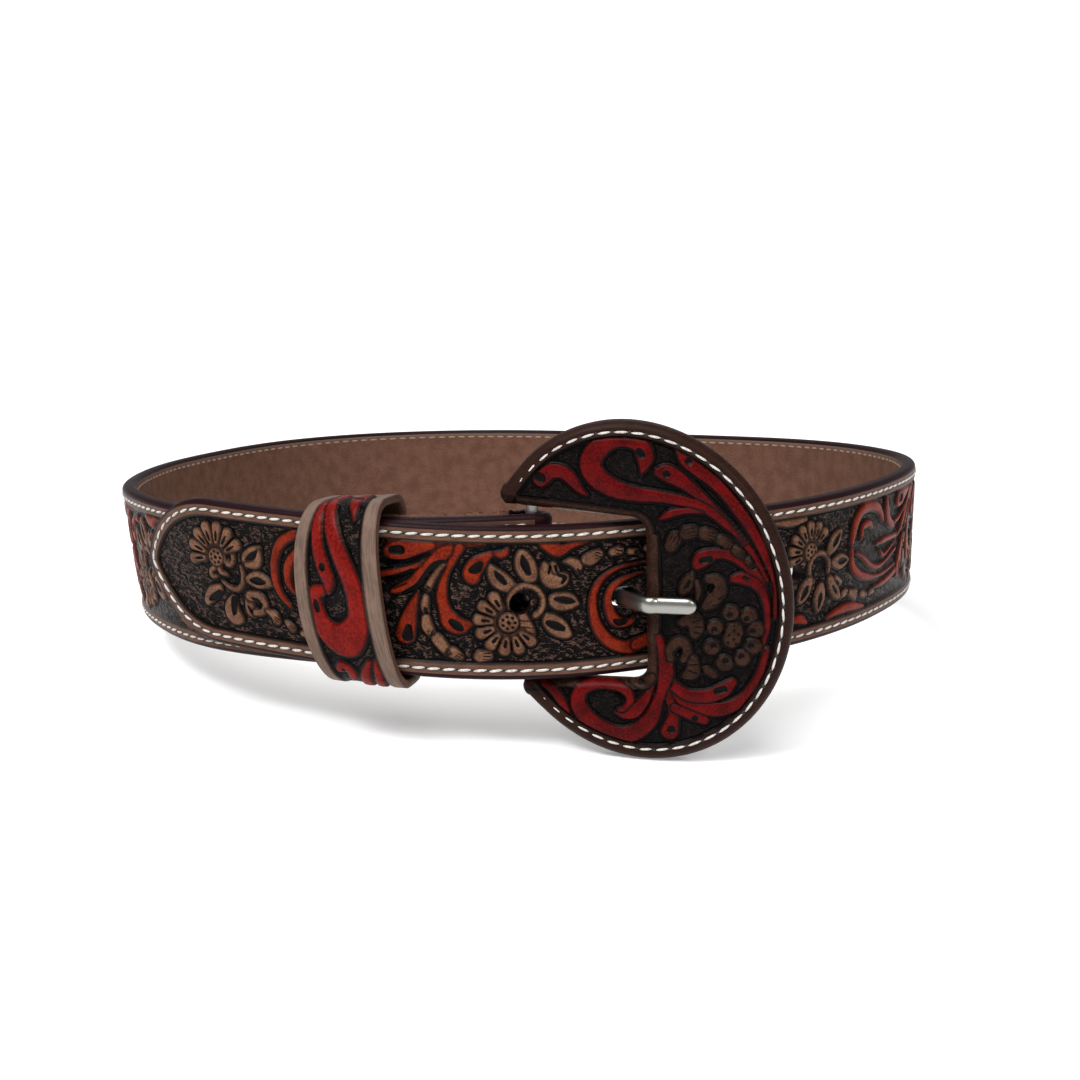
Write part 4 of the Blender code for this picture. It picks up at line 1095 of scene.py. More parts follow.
def strap_piece(name, way_from, way_to, steps, strokes, capped=False):
    """One length of the strap with its carving."""
    along_step, face_step, back_step = steps
    ways = strap_ways(way_from, way_to, along_step)
    rows = section_rows(STRAP_WIDTH, STRAP_THICKNESS, face_step, back_step)
    width = np.array([tip_width(WHOLE - way) for way in ways])
    thick = np.array([strap_thickness(way) for way in ways])
    up = (rows[:, 0] / (STRAP_WIDTH / 2))[None, :] * width[:, None] / 2
    out = rows[:, 1][None, :] * (thick / STRAP_THICKNESS)[:, None]
    x = np.repeat(CHART_START - ways[:, None] / MM, len(rows), axis=1)
    y = up / MM
    rim = edge_distance(x, y)
    relief = Relief(x, y, rim, BORDER_IN)
    relief.paint_all(strokes)
    high = relief.height(CARVE_DEPTH) + stitch_groove(rim, STITCH_IN)
    out = out + high * rows[:, 2][None, :] * MM
    points = STRAP.place(np.repeat(ways[:, None], len(rows), axis=1), up, out)
    zone = np.repeat(rows[:, 3][None, :], len(ways), axis=0)
    relief.clear(zone > 1.2)
    return grid_object(name, points, relief_values(relief, rim, zone), caps=capped)


def moved(strokes, shift):
    """The same strokes further along the chart."""
    return [(kind, [(x + shift, y, r) for x, y, r in points]) for kind, points in strokes]


def bake_cuts(thing, cutters):
    """Cut openings and keep the result as the piece's mesh."""
    for cutter in cutters:
        boolean = thing.modifiers.new("cut", "BOOLEAN")
        boolean.operation = "DIFFERENCE"
        boolean.solver = "EXACT"
        boolean.object = cutter
    bpy.context.view_layer.update()
    mesh = bpy.data.meshes.new_from_object(thing.evaluated_get(bpy.context.evaluated_depsgraph_get()))
    thing.modifiers.clear()
    old = thing.data
    thing.data = mesh
    bpy.data.meshes.remove(old)
    for cutter in cutters:
        bpy.data.objects.remove(cutter)


def oval_cutter(width, length, depth, at, along, through, sides=40):
    """A cutter with round ends, its length along the strap."""
    work = bmesh.new()
    reach = (length - width) / 2
    for end in (-depth / 2, depth / 2):
        for k in range(sides):
            angle = math.tau * (k + 0.5) / sides
            side = math.copysign(reach, math.cos(angle))
            work.verts.new((side + math.cos(angle) * width / 2, math.sin(angle) * width / 2, end))
    verts = list(work.verts)
    work.faces.new(verts[:sides])
    work.faces.new(verts[sides:])
    for k in range(sides):
        n = (k + 1) % sides
        work.faces.new((verts[k], verts[n], verts[sides + n], verts[sides + k]))
    bmesh.ops.recalc_face_normals(work, faces=work.faces)
    mesh = bpy.data.meshes.new("cutter")
    work.to_mesh(mesh)
    work.free()
    cutter = add_object("cutter", mesh)
    across = through.cross(along).normalized()
    along = across.cross(through).normalized()
    turn = Matrix((along, across, through)).transposed().to_4x4()
    cutter.matrix_world = BASE @ Matrix.Translation(at) @ turn
    return cutter


def hole_cutter(step):
    """Cutter for a belt hole, longer where the tongue comes through."""
    way = hole_way(step)
    middle, out, _ = strap_place(way)
    width, length = HOLE_DIAMETER, HOLE_DIAMETER
    if step == 0:
        width, length = TONGUE_WIDTH + 4 * CLEARANCE, TONGUE_HOLE_LENGTH * 0.8
        middle = strap_place(way - TONGUE_HOLE_LENGTH * 0.1)[0]
    depth = STRAP_THICKNESS + LAYER_GAP if step > 0 else STRAP_THICKNESS * 2
    return oval_cutter(width, length, depth, middle, OUTLINE.along(way), out)


def slot_cutter(width, length, shift=0.0):
    """Cutter for the tongue's slot in the fold, moved along the strap by a shift."""
    centre, out = bar_centre()
    centre.z = tongue_height()
    along = OUTLINE.along(0.0)
    depth = BAR_DIAMETER + 2 * (FOLD_THICKNESS + CLEARANCE) + LAYER_GAP
    return oval_cutter(width, length, depth, centre + along * shift, along, out)


# Materials

class Nodes:
    """Short ways to make and join shader nodes."""

    def __init__(self, name):
        self.surface = bpy.data.materials.new(name)
        self.surface.use_nodes = True
        self.tree = self.surface.node_tree
        self.shader = self.tree.nodes["Principled BSDF"]

    def join(self, value, socket):
        """Link a socket, or set a plain value."""
        if isinstance(value, bpy.types.NodeSocket):
            self.tree.links.new(value, socket)
        else:
            socket.default_value = value

    def attribute(self, name):
        """A value that the mesh carries."""
        node = self.tree.nodes.new("ShaderNodeAttribute")
        node.attribute_name = name
        return node.outputs["Vector" if name == "chart" else "Fac"]

    def math(self, how, a, b=0.0):
        """One sum or product."""
        node = self.tree.nodes.new("ShaderNodeMath")
        node.operation = how
        self.join(a, node.inputs[0])
        self.join(b, node.inputs[1])
        return node.outputs[0]

    def plus(self, a, b, share):
        """The first with a share of the second added."""
        return self.math("ADD", a, self.math("MULTIPLY", b, share))

    def blend(self, a, share_a, b, share_b):
        """A share of each, added."""
        return self.plus(self.math("MULTIPLY", a, share_a), b, share_b)

    def ramp(self, value, low, high, start=0.0, stop=1.0):
        """A soft step from start to stop as the value goes from low to high."""
        node = self.tree.nodes.new("ShaderNodeMapRange")
        node.interpolation_type = "SMOOTHSTEP"
        self.join(value, node.inputs["Value"])
        for key, number in (("From Min", low), ("From Max", high), ("To Min", start), ("To Max", stop)):
            node.inputs[key].default_value = number
        return node.outputs[0]

    def mix(self, amount, one, two):
        """A colour between two."""
        node = self.tree.nodes.new("ShaderNodeMix")
        node.data_type = "RGBA"
        self.join(amount, node.inputs[0])
        self.join((*one, 1.0) if isinstance(one, tuple) else one, node.inputs[6])
        self.join((*two, 1.0) if isinstance(two, tuple) else two, node.inputs[7])
        return node.outputs[2]

    def noise(self, where, scale, detail=3.0, rough=0.55, stretch=None):
        """Cloudy noise, stretched where asked."""
        if stretch:
            mapping = self.tree.nodes.new("ShaderNodeMapping")
            self.join(where, mapping.inputs["Vector"])
            mapping.inputs["Scale"].default_value = stretch
            where = mapping.outputs[0]
        node = self.tree.nodes.new("ShaderNodeTexNoise")
        self.join(where, node.inputs["Vector"])
        for key, number in (("Scale", scale), ("Detail", detail), ("Roughness", rough)):
            node.inputs[key].default_value = number
        return node.outputs["Fac"]

    def bump(self, height, strength, distance):
        """Fine unevenness of the surface."""
        node = self.tree.nodes.new("ShaderNodeBump")
        self.join(height, node.inputs["Height"])
        node.inputs["Strength"].default_value = strength
        node.inputs["Distance"].default_value = distance
        self.tree.links.new(node.outputs[0], self.shader.inputs["Normal"])


# Tones that all the leathers share
CUT_TONE = (0.0040, 0.0018, 0.0015)
HOLLOW_TONE = (0.0024, 0.0014, 0.0013)
GROUND_TONE = (0.0018, 0.0010, 0.0010)
GUTTER_TONE = (0.0016, 0.0010, 0.0010)
SUEDE_TONES = ((0.088, 0.041, 0.027), (0.132, 0.065, 0.043))
SUEDE_RIM_TONE = (0.125, 0.078, 0.060)


def leather_ground(n, stipple, raised, ground_highlight_tone):
    """The sunk ground: dark, with lighter flecks away from the raised work, a painted highlight on the
    stipple's tops.
    """
    speck_highlight = n.ramp(n.plus(stipple, n.attribute("fleck"), 0.22), 0.54, 0.66)
    ground = n.mix(speck_highlight, GROUND_TONE, ground_highlight_tone)
    return n.mix(n.ramp(raised, -0.75, -0.45), ground, GUTTER_TONE)


def leather_inside(n, fine, broad, rim, rim_dark):
    """The suede inside of the strap, paler along its pressed margin."""
    suede = n.mix(n.ramp(n.blend(fine, 0.5, broad, 0.5), 0.36, 0.64), *SUEDE_TONES)
    suede = n.mix(n.ramp(rim, 1.5, 2.5), SUEDE_RIM_TONE, suede)
    return n.mix(n.ramp(rim, 0.2, 0.7), rim_dark, suede)


def leather_gloss(n, fine, stipple, raised, rim, back):
    """Roughness and fine bumps: glossier raised work, dull ground and inside."""
    rough = n.plus(n.ramp(raised, -0.5, 0.0, 0.16, 0.27), fine, 0.14)
    rough = n.math("ADD", rough, n.ramp(rim, BORDER_IN - 0.6, BORDER_IN + 0.2, 0.10, 0.0))
    rough = n.plus(rough, back, 0.42)
    n.join(rough, n.shader.inputs["Roughness"])
    n.shader.inputs["Specular IOR Level"].default_value = 0.06
    n.shader.inputs["Coat Weight"].default_value = 0.02
    n.shader.inputs["Coat Roughness"].default_value = 0.22
    low = n.math("MULTIPLY", n.math("SUBTRACT", 1.0, n.ramp(raised, -0.7, -0.3)), stipple)
    low = n.math("MULTIPLY", low, n.math("SUBTRACT", 1.0, back))
    height = n.plus(n.blend(low, 2.4, fine, 0.35), n.math("MULTIPLY", back, fine), 0.6)
    n.bump(height, 0.8, 0.00045)


def carved_leather(name, tans, paints, band, rim_dark, ground_highlight_tone, band_edge, grain):
    """Painted, antiqued tooling with a plain band along the edge and a suede inside."""
    n = Nodes(name)
    chart = n.attribute("chart")
    raised, red, cut, hollow = (n.attribute(key) for key in ("raised", "red", "cut", "hollow"))
    rim, zone = n.attribute("rim"), n.attribute("zone")
    fine = n.noise(chart, 1.6, 4.0, 0.6)
    broad = n.noise(chart, 0.22, 3.0, 0.5)
    streak = n.noise(chart, 1.1, 3.0, 0.6, grain)
    stipple = n.noise(chart, 1.9, 2.0, 0.55, (0.75, 1.7, 1.0))
    # raised work
    tone = n.ramp(n.blend(fine, 0.55, broad, 0.45), 0.38, 0.62)
    shade = n.mix(n.ramp(red, -0.05, 0.07), n.mix(tone, *tans), n.mix(tone, *paints))
    band_tone = n.ramp(n.blend(streak, 0.6, broad, 0.4), 0.36, 0.62)
    bands = n.mix(band_tone, tuple(c * 0.62 for c in band), band)
    shade = n.mix(n.ramp(rim, *band_edge), bands, shade)
    shade = n.mix(n.ramp(cut, 0.10, 0.62), n.mix(0.84, shade, CUT_TONE), shade)
    # the sunk ground, its flecks lightened as a painted highlight on the stipple's tops
    shade = n.mix(n.ramp(raised, -0.08, 0.05), leather_ground(n, stipple, raised, ground_highlight_tone), shade)
    shade = n.mix(n.ramp(hollow, -0.10, 0.06), shade, HOLLOW_TONE)
    # burnished edge, raw inside
    shade = n.mix(n.ramp(rim, 0.7, 1.5), rim_dark, shade)
    shade = n.mix(n.ramp(zone, 0.35, 0.75), shade, rim_dark)
    back = n.ramp(zone, 1.5, 1.75)
    shade = n.mix(back, shade, leather_inside(n, fine, broad, rim, rim_dark))
    n.join(shade, n.shader.inputs["Base Color"])
    leather_gloss(n, fine, stipple, raised, rim, back)
    return n.surface


def plain(name, colour, roughness, metallic=0.0, grain=0.0, grain_scale=900.0):
    """One even colour, with a fine grain where asked."""
    n = Nodes(name)
    n.shader.inputs["Base Color"].default_value = (*colour, 1.0)
    n.shader.inputs["Roughness"].default_value = roughness
    n.shader.inputs["Metallic"].default_value = metallic
    if grain:
        where = n.tree.nodes.new("ShaderNodeTexCoord").outputs["Object"]
        height = n.noise(where, grain_scale, 3.0, 0.6)
        dark = tuple(c * 0.6 for c in colour)
        n.join(n.mix(n.ramp(height, 0.35, 0.65), dark, tuple(colour)), n.shader.inputs["Base Color"])
        n.bump(height, 0.4, grain)
    return n.surface


ACROSS_GRAIN = (2.4, 0.25, 1.0)
ALONG_GRAIN = (0.25, 2.4, 1.0)
BUCKLE_BAND_EDGE = (BUCKLE_BORDER_IN, BUCKLE_BORDER_IN + 0.15)
# The tone after each edge tone lightens the ground's flecks: a painted highlight on the stipple's tops.
STRAP_LEATHER = carved_leather(
    "strap_tooled_leather", ((0.072, 0.030, 0.017), (0.175, 0.084, 0.048)),
    ((0.088, 0.006, 0.002), (0.200, 0.018, 0.004)), (0.122, 0.062, 0.042), (0.013, 0.0035, 0.005),
    (0.078, 0.044, 0.033), (BORDER_IN - 0.1, BORDER_IN + 0.1), ALONG_GRAIN)
BUCKLE_LEATHER = carved_leather(
    "buckle_tooled_leather", ((0.013, 0.005, 0.0035), (0.036, 0.015, 0.008)),
    ((0.036, 0.0008, 0.001), (0.105, 0.0018, 0.002)), (0.024, 0.009, 0.006), (0.008, 0.003, 0.003),
    (0.012, 0.005, 0.0045), BUCKLE_BAND_EDGE, ALONG_GRAIN)
KEEPER_LEATHER = carved_leather(
    "keeper_tooled_leather", ((0.100, 0.062, 0.046), (0.165, 0.104, 0.078)),
    ((0.090, 0.003, 0.002), (0.190, 0.008, 0.005)), (0.165, 0.108, 0.083), (0.060, 0.030, 0.022),
    (0.045, 0.027, 0.021), BUCKLE_BAND_EDGE, ACROSS_GRAIN)
THREAD = plain("stitch_thread", (0.66, 0.635, 0.59), 0.55, grain=0.00005, grain_scale=2500.0)
THREAD_DULL = plain("stitch_thread_inside", (0.230, 0.155, 0.115), 0.8)
# Dark pits at the stitch ends: painted shade of the stitch holes
HOLE_SHADE = plain("stitch_hole_shade", (0.006, 0.004, 0.004), 0.5)
NICKEL = plain("tongue_nickel_finish", (0.32, 0.315, 0.29), 0.30, metallic=1.0)
STEEL = plain("bar_steel_finish", (0.38, 0.37, 0.35), 0.38, metallic=1.0)


# Building

def build_strap():
    """The strap in four lengths, finest where the photograph shows it best."""
    shown = CENTRE + MIDDLE + RIGHT
    front = strap_piece("strap_front", FRONT_FROM, WHOLE, FRONT_STEPS, TIP + shown, capped=True)
    finish_piece(front, STRAP_LEATHER, "strap")
    bake_cuts(front, [hole_cutter(step) for step in (*HOLE_STEPS, 0)])
    front.data.set_sharp_from_angle(angle=math.radians(60.0))
    right = strap_piece("strap_right", RIGHT_FROM, FRONT_FROM, RIGHT_STEPS, shown + moved(CENTRE, TILE))
    finish_piece(right, STRAP_LEATHER, "strap")
    strokes = []
    for k in range(1, 6):
        strokes += moved(shown, TILE * k)
    strokes += RIGHT
    back = strap_piece("strap_round_1", ROUND_FROM, RIGHT_FROM, ROUND_STEPS, strokes)
    finish_piece(back, STRAP_LEATHER, "strap")
    left = strap_piece("strap_round_2", 0.0, ROUND_FROM, ROUND_STEPS, strokes, capped=True)
    finish_piece(left, STRAP_LEATHER, "strap")
    bake_cuts(left, [slot_cutter(TONGUE_WIDTH + 2 * CLEARANCE, TONGUE_SLOT_LENGTH)])


def flap_rows():
    """Middle points and outward directions along the flap and round the fold."""
    rows = []
    fold_inside = BAR_DIAMETER + 2 * CLEARANCE
    for k in range(FLAP_STEPS + 1):
        way = FLAP_LENGTH * (1 - k / FLAP_STEPS)
        apart = (fold_inside - LAYER_GAP) * ease(1 - way / (FLAP_LENGTH / 2))
        inset = strap_thickness(way) + LAYER_GAP + FOLD_THICKNESS / 2 + apart
        middle, out, up = strap_middle(way, inset)
        rows.append((middle, -out, up))
    radius = FOLD_THICKNESS / 2 + CLEARANCE + BAR_DIAMETER / 2
    centre, out = bar_centre()
    along = OUTLINE.along(0.0)
    for k in range(1, FOLD_STEPS):
        angle = math.pi * k / FOLD_STEPS
        radial = along * math.sin(angle) - out * math.cos(angle)
        rows.append((centre + radial * radius, radial, UP))
    middle, out, up = strap_place(0.0)
    rows.append((middle, out, up))
    return rows


def build_flap():
    """The strap's thin end: behind the strap, round the bar, frayed along its raw edge."""
    rows = flap_rows()
    section = section_rows(STRAP_WIDTH, FOLD_THICKNESS, *FLAP_GRID)
    edge = section[:, 3] > 0.5
    ragged = np.random.default_rng(5)
    points = np.zeros((len(rows), len(section), 3))
    for i, (middle, out, up) in enumerate(rows):
        fray = ragged.normal(0, FLAP_FRAY, len(section)) * edge * (i < FLAP_STEPS)
        for j, (b, a, _, _) in enumerate(section):
            points[i, j] = middle + out * a + up * (b + fray[j])
    x = np.repeat(np.arange(len(rows))[:, None] * FLAP_ROW, len(section), axis=1)
    y = np.repeat(section[:, 0][None, :] / MM, len(rows), axis=0)
    zone = np.full(x.shape, 2.0)
    zone[FLAP_STEPS + 1:] = 1.0
    zone[FLAP_DARK_FROM:FLAP_STEPS + 1, edge] = 1.0
    rim = np.full(x.shape, PLAIN_RIM)
    relief = Relief(x, y, rim, BORDER_IN)
    relief.clear(np.full(x.shape, True))
    flap = grid_object("strap_flap", points, relief_values(relief, rim, zone), caps=True)
    finish_piece(flap, STRAP_LEATHER, "strap")
    slot_length = TONGUE_SLOT_LENGTH * FLAP_SLOT_SHARE
    bake_cuts(flap, [slot_cutter(TONGUE_WIDTH + CLEARANCE, slot_length, FLAP_SLOT_SHIFT)])


def crescent_lines(rows_along):
    """Outer and inner edge points and share of the thickness, from the upper horn to the lower."""
    upper = horn_angle(gap_top, HORN_TIP_WIDTH)
    lower = horn_angle(gap_foot, -HORN_TIP_WIDTH)
    first = upper - math.tau if upper > lower else upper
    path = gap_path(oval_edge(upper)[0], oval_edge(lower)[0])
    lengths = np.concatenate(([0.0], np.cumsum(np.hypot(*np.diff(path, axis=0).T))))
    share = np.linspace(0.0, 1.0, rows_along)
    outer = np.stack(oval_edge(first + (lower - first) * share), axis=-1)
    reach = lengths[-1] * share
    inner = np.stack((np.interp(reach, lengths, path[:, 0]), np.interp(reach, lengths, path[:, 1])), axis=-1)

    def horn_end(out_point, in_point):
        middle, half = (out_point + in_point) / 2, (out_point - in_point) / 2
        beyond = np.array((-abs(half[1]), half[0] * math.copysign(1.0, half[1])))
        ends = []
        for k in range(1, HORN_STEPS + 1):
            angle = HORN_TURN * k / HORN_STEPS
            centre = middle + beyond * 0.6 * math.sin(angle)
            across = half * math.cos(angle)
            ends.append((centre + across, centre - across, 0.5 + math.cos(angle) / 2))
        return ends

    start = horn_end(outer[0], inner[0])[::-1]
    finish = horn_end(outer[-1], inner[-1])
    outer = np.vstack([[row[0] for row in start], outer, [row[0] for row in finish]])
    inner = np.vstack([[row[1] for row in start], inner, [row[1] for row in finish]])
    thick = np.concatenate(([row[2] for row in start], np.ones(rows_along), [row[2] for row in finish]))
    return outer, inner, thick


def crescent_section(width, thick):
    """Rows round the crescent's section: across from its outer edge, level, share of carving, zone."""
    radius = np.minimum(np.minimum(BUCKLE_EDGE_RADIUS, 0.9 * thick / 2), 0.6 * width / 2)
    corner, flat, back = 6, 84, 10
    rows = []

    def corner_row(k, inner, front):
        angle = math.pi / 2 * k / corner
        inward = radius * (1 - math.cos(angle))
        drop = radius * (1 - math.sin(angle))
        across = width - inward if inner else inward
        rows.append((across, thick / 2 - drop if front else -thick / 2 + drop,
                     math.sin(angle) if front else 0.0, 0.0))

    for k in range(corner):
        corner_row(k, False, True)
    for k in range(flat + 1):
        rows.append((radius + (width - 2 * radius) * k / flat, thick / 2, 1.0, 0.0))
    for k in range(corner - 1, -1, -1):
        corner_row(k, True, True)
    for k in range(1, corner + 1):
        corner_row(k, True, False)
    for k in range(1, back):
        rows.append((width - radius - (width - 2 * radius) * k / back, -thick / 2, 0.0, 2.0))
    for k in range(corner, 0, -1):
        corner_row(k, False, False)
    across, level, face, zone = zip(*rows)
    return np.stack(across, axis=1), np.stack(level, axis=1), np.array(face), np.array(zone)


def build_buckle():
    """The crescent's cover, carved on its face."""
    outer, inner, share = crescent_lines(500)
    width = np.hypot(*(outer - inner).T)
    across, level, face, zone = crescent_section(width, BUCKLE_THICKNESS * share)
    part = across / width[:, None]
    spot = outer[:, None, :] + (inner - outer)[:, None, :] * part[..., None]
    crown = np.where(level > 0, BUCKLE_CROWN * 4 * part * (1 - part), 0.0)
    x, y = spot[..., 0] / MM, spot[..., 1] / MM
    # the outer edge is an oval, so the true distance in from it is a little less than along the rows
    rim = line_distance(x, y, np.stack(oval_edge(np.linspace(0, math.tau, 181)), axis=-1) / MM)
    relief = Relief(x, y, rim, BUCKLE_BORDER_IN)
    gap_band = (width[:, None] - across) / MM - GAP_BAND_IN
    gap_band = gap_band + np.where(y > GAP_BAND_LESS_FROM, GAP_BAND_LESS, 0.0)
    beside_gap = np.where(np.abs(y) < GAP_BAND_REACH, -gap_band, -PAINT_REACH)
    relief.up = np.maximum(relief.up, beside_gap)
    relief.edge = np.minimum(relief.edge, np.abs(gap_band))
    relief.paint_all(BUCKLE)
    high = relief.height(BUCKLE_CARVE_DEPTH) + stitch_groove(rim, BUCKLE_STITCH_IN)
    level = level + crown + high * face[None, :] * MM
    relief.clear(np.repeat((face == 0.0)[None, :], len(outer), axis=0))
    points = PLATE.place(spot[..., 0], spot[..., 1], level)
    zone = np.repeat(zone[None, :], len(outer), axis=0)
    buckle = grid_object("buckle_cover", points, relief_values(relief, np.maximum(rim, 1.6), zone), caps=True)
    finish_piece(buckle, BUCKLE_LEATHER, "buckle")


def keeper_surface(c, angle):
    """Point on the keeper's outer face: blend across it, angle round it."""
    share = c - 0.5
    bow = KEEPER_LEFT_BOW + (KEEPER_RIGHT_BOW - KEEPER_LEFT_BOW) * c
    skew = math.tan(KEEPER_LEFT_SKEW + (KEEPER_RIGHT_SKEW - KEEPER_LEFT_SKEW) * c)
    cos, sin = math.cos(angle), math.sin(angle)
    side = KEEPER_FRONT if cos > 0 else KEEPER_BACK
    out = side[0] * math.copysign(abs(cos) ** side[1], cos)
    level = math.copysign(abs(sin) ** side[2], sin)
    up = KEEPER_HEIGHT / 2 * level * (1 + KEEPER_FLARE * share)
    way = KEEPER_FROM_BAR - KEEPER_WIDTH * share + up * skew + bow * (1 - level * level)
    middle, away, high = strap_middle(way, 0.0)
    return np.array(middle + UP * KEEPER_RISE + away * out + high * up)


def keeper_face(columns, sides):
    """Points of the keeper's outer face, and their outward directions."""
    angles = np.linspace(0, math.tau, sides + 1)[:-1]
    coarse = np.linspace(0, 1, 9)
    rough = np.array([[keeper_surface(c, angle) for angle in angles] for c in coarse])
    outer = np.zeros((columns, sides, 3))
    for k in range(3):
        for j in range(sides):
            outer[:, j, k] = np.interp(np.linspace(0, 1, columns), coarse, rough[:, j, k])
    ahead = np.roll(outer, -1, axis=1) - np.roll(outer, 1, axis=1)
    normal = np.cross(ahead, np.gradient(outer, axis=0))
    normal /= np.linalg.norm(normal, axis=-1, keepdims=True)
    if ((outer - outer.mean(axis=(0, 1))) * normal).sum() < 0:
        normal = -normal
    return outer, normal


def keeper_chart(outer):
    """Across from the face's middle line, and height along it from the middle of the front."""
    columns, sides = outer.shape[:2]
    middle_line = outer[columns // 2]
    steps = np.linalg.norm(np.diff(np.vstack((middle_line, middle_line[:1])), axis=0), axis=1)
    run = np.concatenate(([0.0], np.cumsum(steps)))[:-1] / MM
    total = steps.sum() / MM
    run = np.where(run > total / 2, run - total, run)
    scale = KEEPER_CHART_TOP / run[int(np.argmax(middle_line[:, 2]))]
    across = (np.linspace(0, 1, columns) - 0.5) * KEEPER_WIDTH / MM
    return np.repeat(across[:, None], sides, axis=1), np.repeat((run * scale)[None, :], columns, axis=0)


def build_keeper():
    """The keeper's band: an outer face with its carving, an inner face, and raw side edges."""
    columns, sides = 44, 260
    outer, normal = keeper_face(columns, sides)
    x, y = keeper_chart(outer)
    rim = KEEPER_WIDTH / 2 / MM - np.abs(x)
    relief = Relief(x, y, rim, KEEPER_BORDER_IN)
    relief.paint_all(KEEPER)
    plain_back = np.abs(y) > KEEPER_CARVED_TO
    high = np.where(plain_back, 0.0, relief.height(KEEPER_CARVE_DEPTH))
    relief.clear(plain_back)
    inner = outer - normal * KEEPER_WALL
    side = inner + (outer - inner) * 0.5
    # section across the band: outer face, side, inner face, side
    ring = np.concatenate((outer + normal * (high * MM)[..., None], side[-1:],
                           inner[::-4][:columns // 4], inner[:1], side[:1]), axis=0)
    hidden = (len(ring) - columns, sides)
    values = relief_values(relief, rim + 1.45, np.zeros((columns, sides)))
    beyond = {"raised": PAINT_REACH, "red": -PAINT_REACH, "cut": PAINT_REACH, "hollow": -PAINT_REACH,
              "fleck": 0.0, "rim": PLAIN_RIM, "zone": 2.0}
    beyond = {key: np.full(hidden, value) for key, value in beyond.items()}
    beyond["chart"] = np.stack((np.full(hidden, 30.0), np.repeat(y[:1], hidden[0], axis=0),
                                np.zeros(hidden)), axis=-1)
    # sides run closed round the belt, and the section closes on itself
    ring = np.concatenate((ring, ring[:1]), axis=0)
    values = {key: np.concatenate((grid, beyond[key], grid[:1]), axis=0) for key, grid in values.items()}
    keeper = grid_object("keeper_band", ring, values)
    finish_piece(keeper, KEEPER_LEATHER, "keeper")


def tongue_route():
    """Points from the hook round the bar, through the hole and along the plate."""
    centre, out = bar_centre()
    along = OUTLINE.along(0.0)
    eye = BAR_DIAMETER / 2 + CLEARANCE + TONGUE_THICKNESS / 2
    points = []
    for k in range(HOOK_STEPS + 1):
        angle = TONGUE_EYE_ANGLE * (1 - k / HOOK_STEPS)
        points.append(np.array(centre + (out * math.cos(angle) - along * math.sin(angle)) * eye))
    way = hole_way(0)
    middle, away, _ = strap_place(way)
    forward = -OUTLINE.along(way)
    behind = (STRAP_THICKNESS + TONGUE_THICKNESS) / 2
    points.append(np.array(middle - away * behind - forward * (TONGUE_HOLE_LENGTH / 3)))
    points.append(np.array(middle))
    lying = (TONGUE_THICKNESS + BUCKLE_THICKNESS) / 2 + BUCKLE_CROWN + CLEARANCE
    for share in (0.2, 0.45, 0.75, 1.0):
        points.append(PLATE.place(np.array(TONGUE_REACH * share), np.array(0.0), np.array(lying)))
    points = np.array(points)
    reach = (points - np.array(centre)) @ np.array(PLATE.right)
    share = np.maximum(reach, 0.0) / reach[-1]
    points[:, 2] = tongue_height() - TONGUE_FALL * share
    return points


def tongue_line():
    """The tongue's smooth middle line with its nose, and the share of its thickness there."""
    points = tongue_route()
    bend = points[HOOK_KEPT:]
    line = smooth_line(bend, 6)
    line[:, 2] = np.interp(np.linspace(0, 1, len(line)), np.linspace(0, 1, len(bend)), bend[:, 2])
    ahead = (points[-1] - points[-2]) / np.linalg.norm(points[-1] - points[-2]) * TONGUE_NOSE
    nose = np.sin(np.linspace(0, math.pi / 2, 9)[1:]) * 0.98
    line = np.vstack((points[:HOOK_KEPT], line, [points[-1] + ahead * share for share in nose]))
    return line, np.concatenate((np.ones(len(line) - len(nose)), np.sqrt(1 - nose ** 2)))


def build_tongue():
    """The plain prong: a rounded section carried along its line."""
    line, size = tongue_line()
    sides = 28
    up = np.array((0, 0, 1.0))
    rings = np.zeros((len(line), sides, 3))
    for i, point in enumerate(line):
        before, after = line[max(i - 1, 0)], line[min(i + 1, len(line) - 1)]
        across = np.cross((after - before) / np.linalg.norm(after - before), up)
        across /= np.linalg.norm(across)
        for j in range(sides):
            c, s = math.cos(math.tau * j / sides), math.sin(math.tau * j / sides)
            flat_c = math.copysign(abs(c) ** 0.8, c)
            flat_s = math.copysign(abs(s) ** 0.9, s)
            wide = across * flat_c * TONGUE_THICKNESS / 2 * size[i]
            rings[i, j] = point + wide + up * flat_s * TONGUE_WIDTH / 2 * size[i]
    tongue = grid_object("tongue_prong", rings, {"cut": np.zeros(rings.shape[:2])}, caps=True)
    finish_piece(tongue, NICKEL, "tongue")


def build_bar():
    """The bar keeps its solid and takes the steel."""
    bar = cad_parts["buckle_bar"]
    bar.data.materials.clear()
    bar.data.materials.append(STEEL)


# Stitches: one short thread shape set along each row, with a dark pit of painted shade for the hole at each
# end

def thread_mesh(name, spots, surface, rings=5):
    """Many little threads in one mesh. Each spot has a middle, a direction, an outward and a size."""
    sides = 6
    verts, faces = [], []
    for middle, ahead, out, (length, wide, tall) in spots:
        side = np.cross(out, ahead)
        side /= np.linalg.norm(side)
        start = len(verts)
        for i in range(rings):
            t = -1 + 2 * i / (rings - 1)
            swell = max(1 - abs(t) ** 4.0, 0.12) ** 0.5
            for j in range(sides):
                angle = math.tau * j / sides
                verts.append(middle + ahead * (t * length / 2) + side * (math.cos(angle) * wide / 2 * swell)
                             + out * (math.sin(angle) * tall / 2 * swell - tall * 0.22 * t * t))
        for i in range(rings - 1):
            low, high = start + i * sides, start + (i + 1) * sides
            for j in range(sides):
                k = (j + 1) % sides
                faces.append((low + j, low + k, high + k, high + j))
        faces.append(tuple(start + j for j in range(sides))[::-1])
        faces.append(tuple(start + (rings - 1) * sides + j for j in range(sides)))
    mesh = bpy.data.meshes.new(name)
    mesh.from_pydata(standing(np.array(verts)).tolist(), [], faces)
    mesh.shade_smooth()
    finish_piece(add_object(name, mesh), surface)


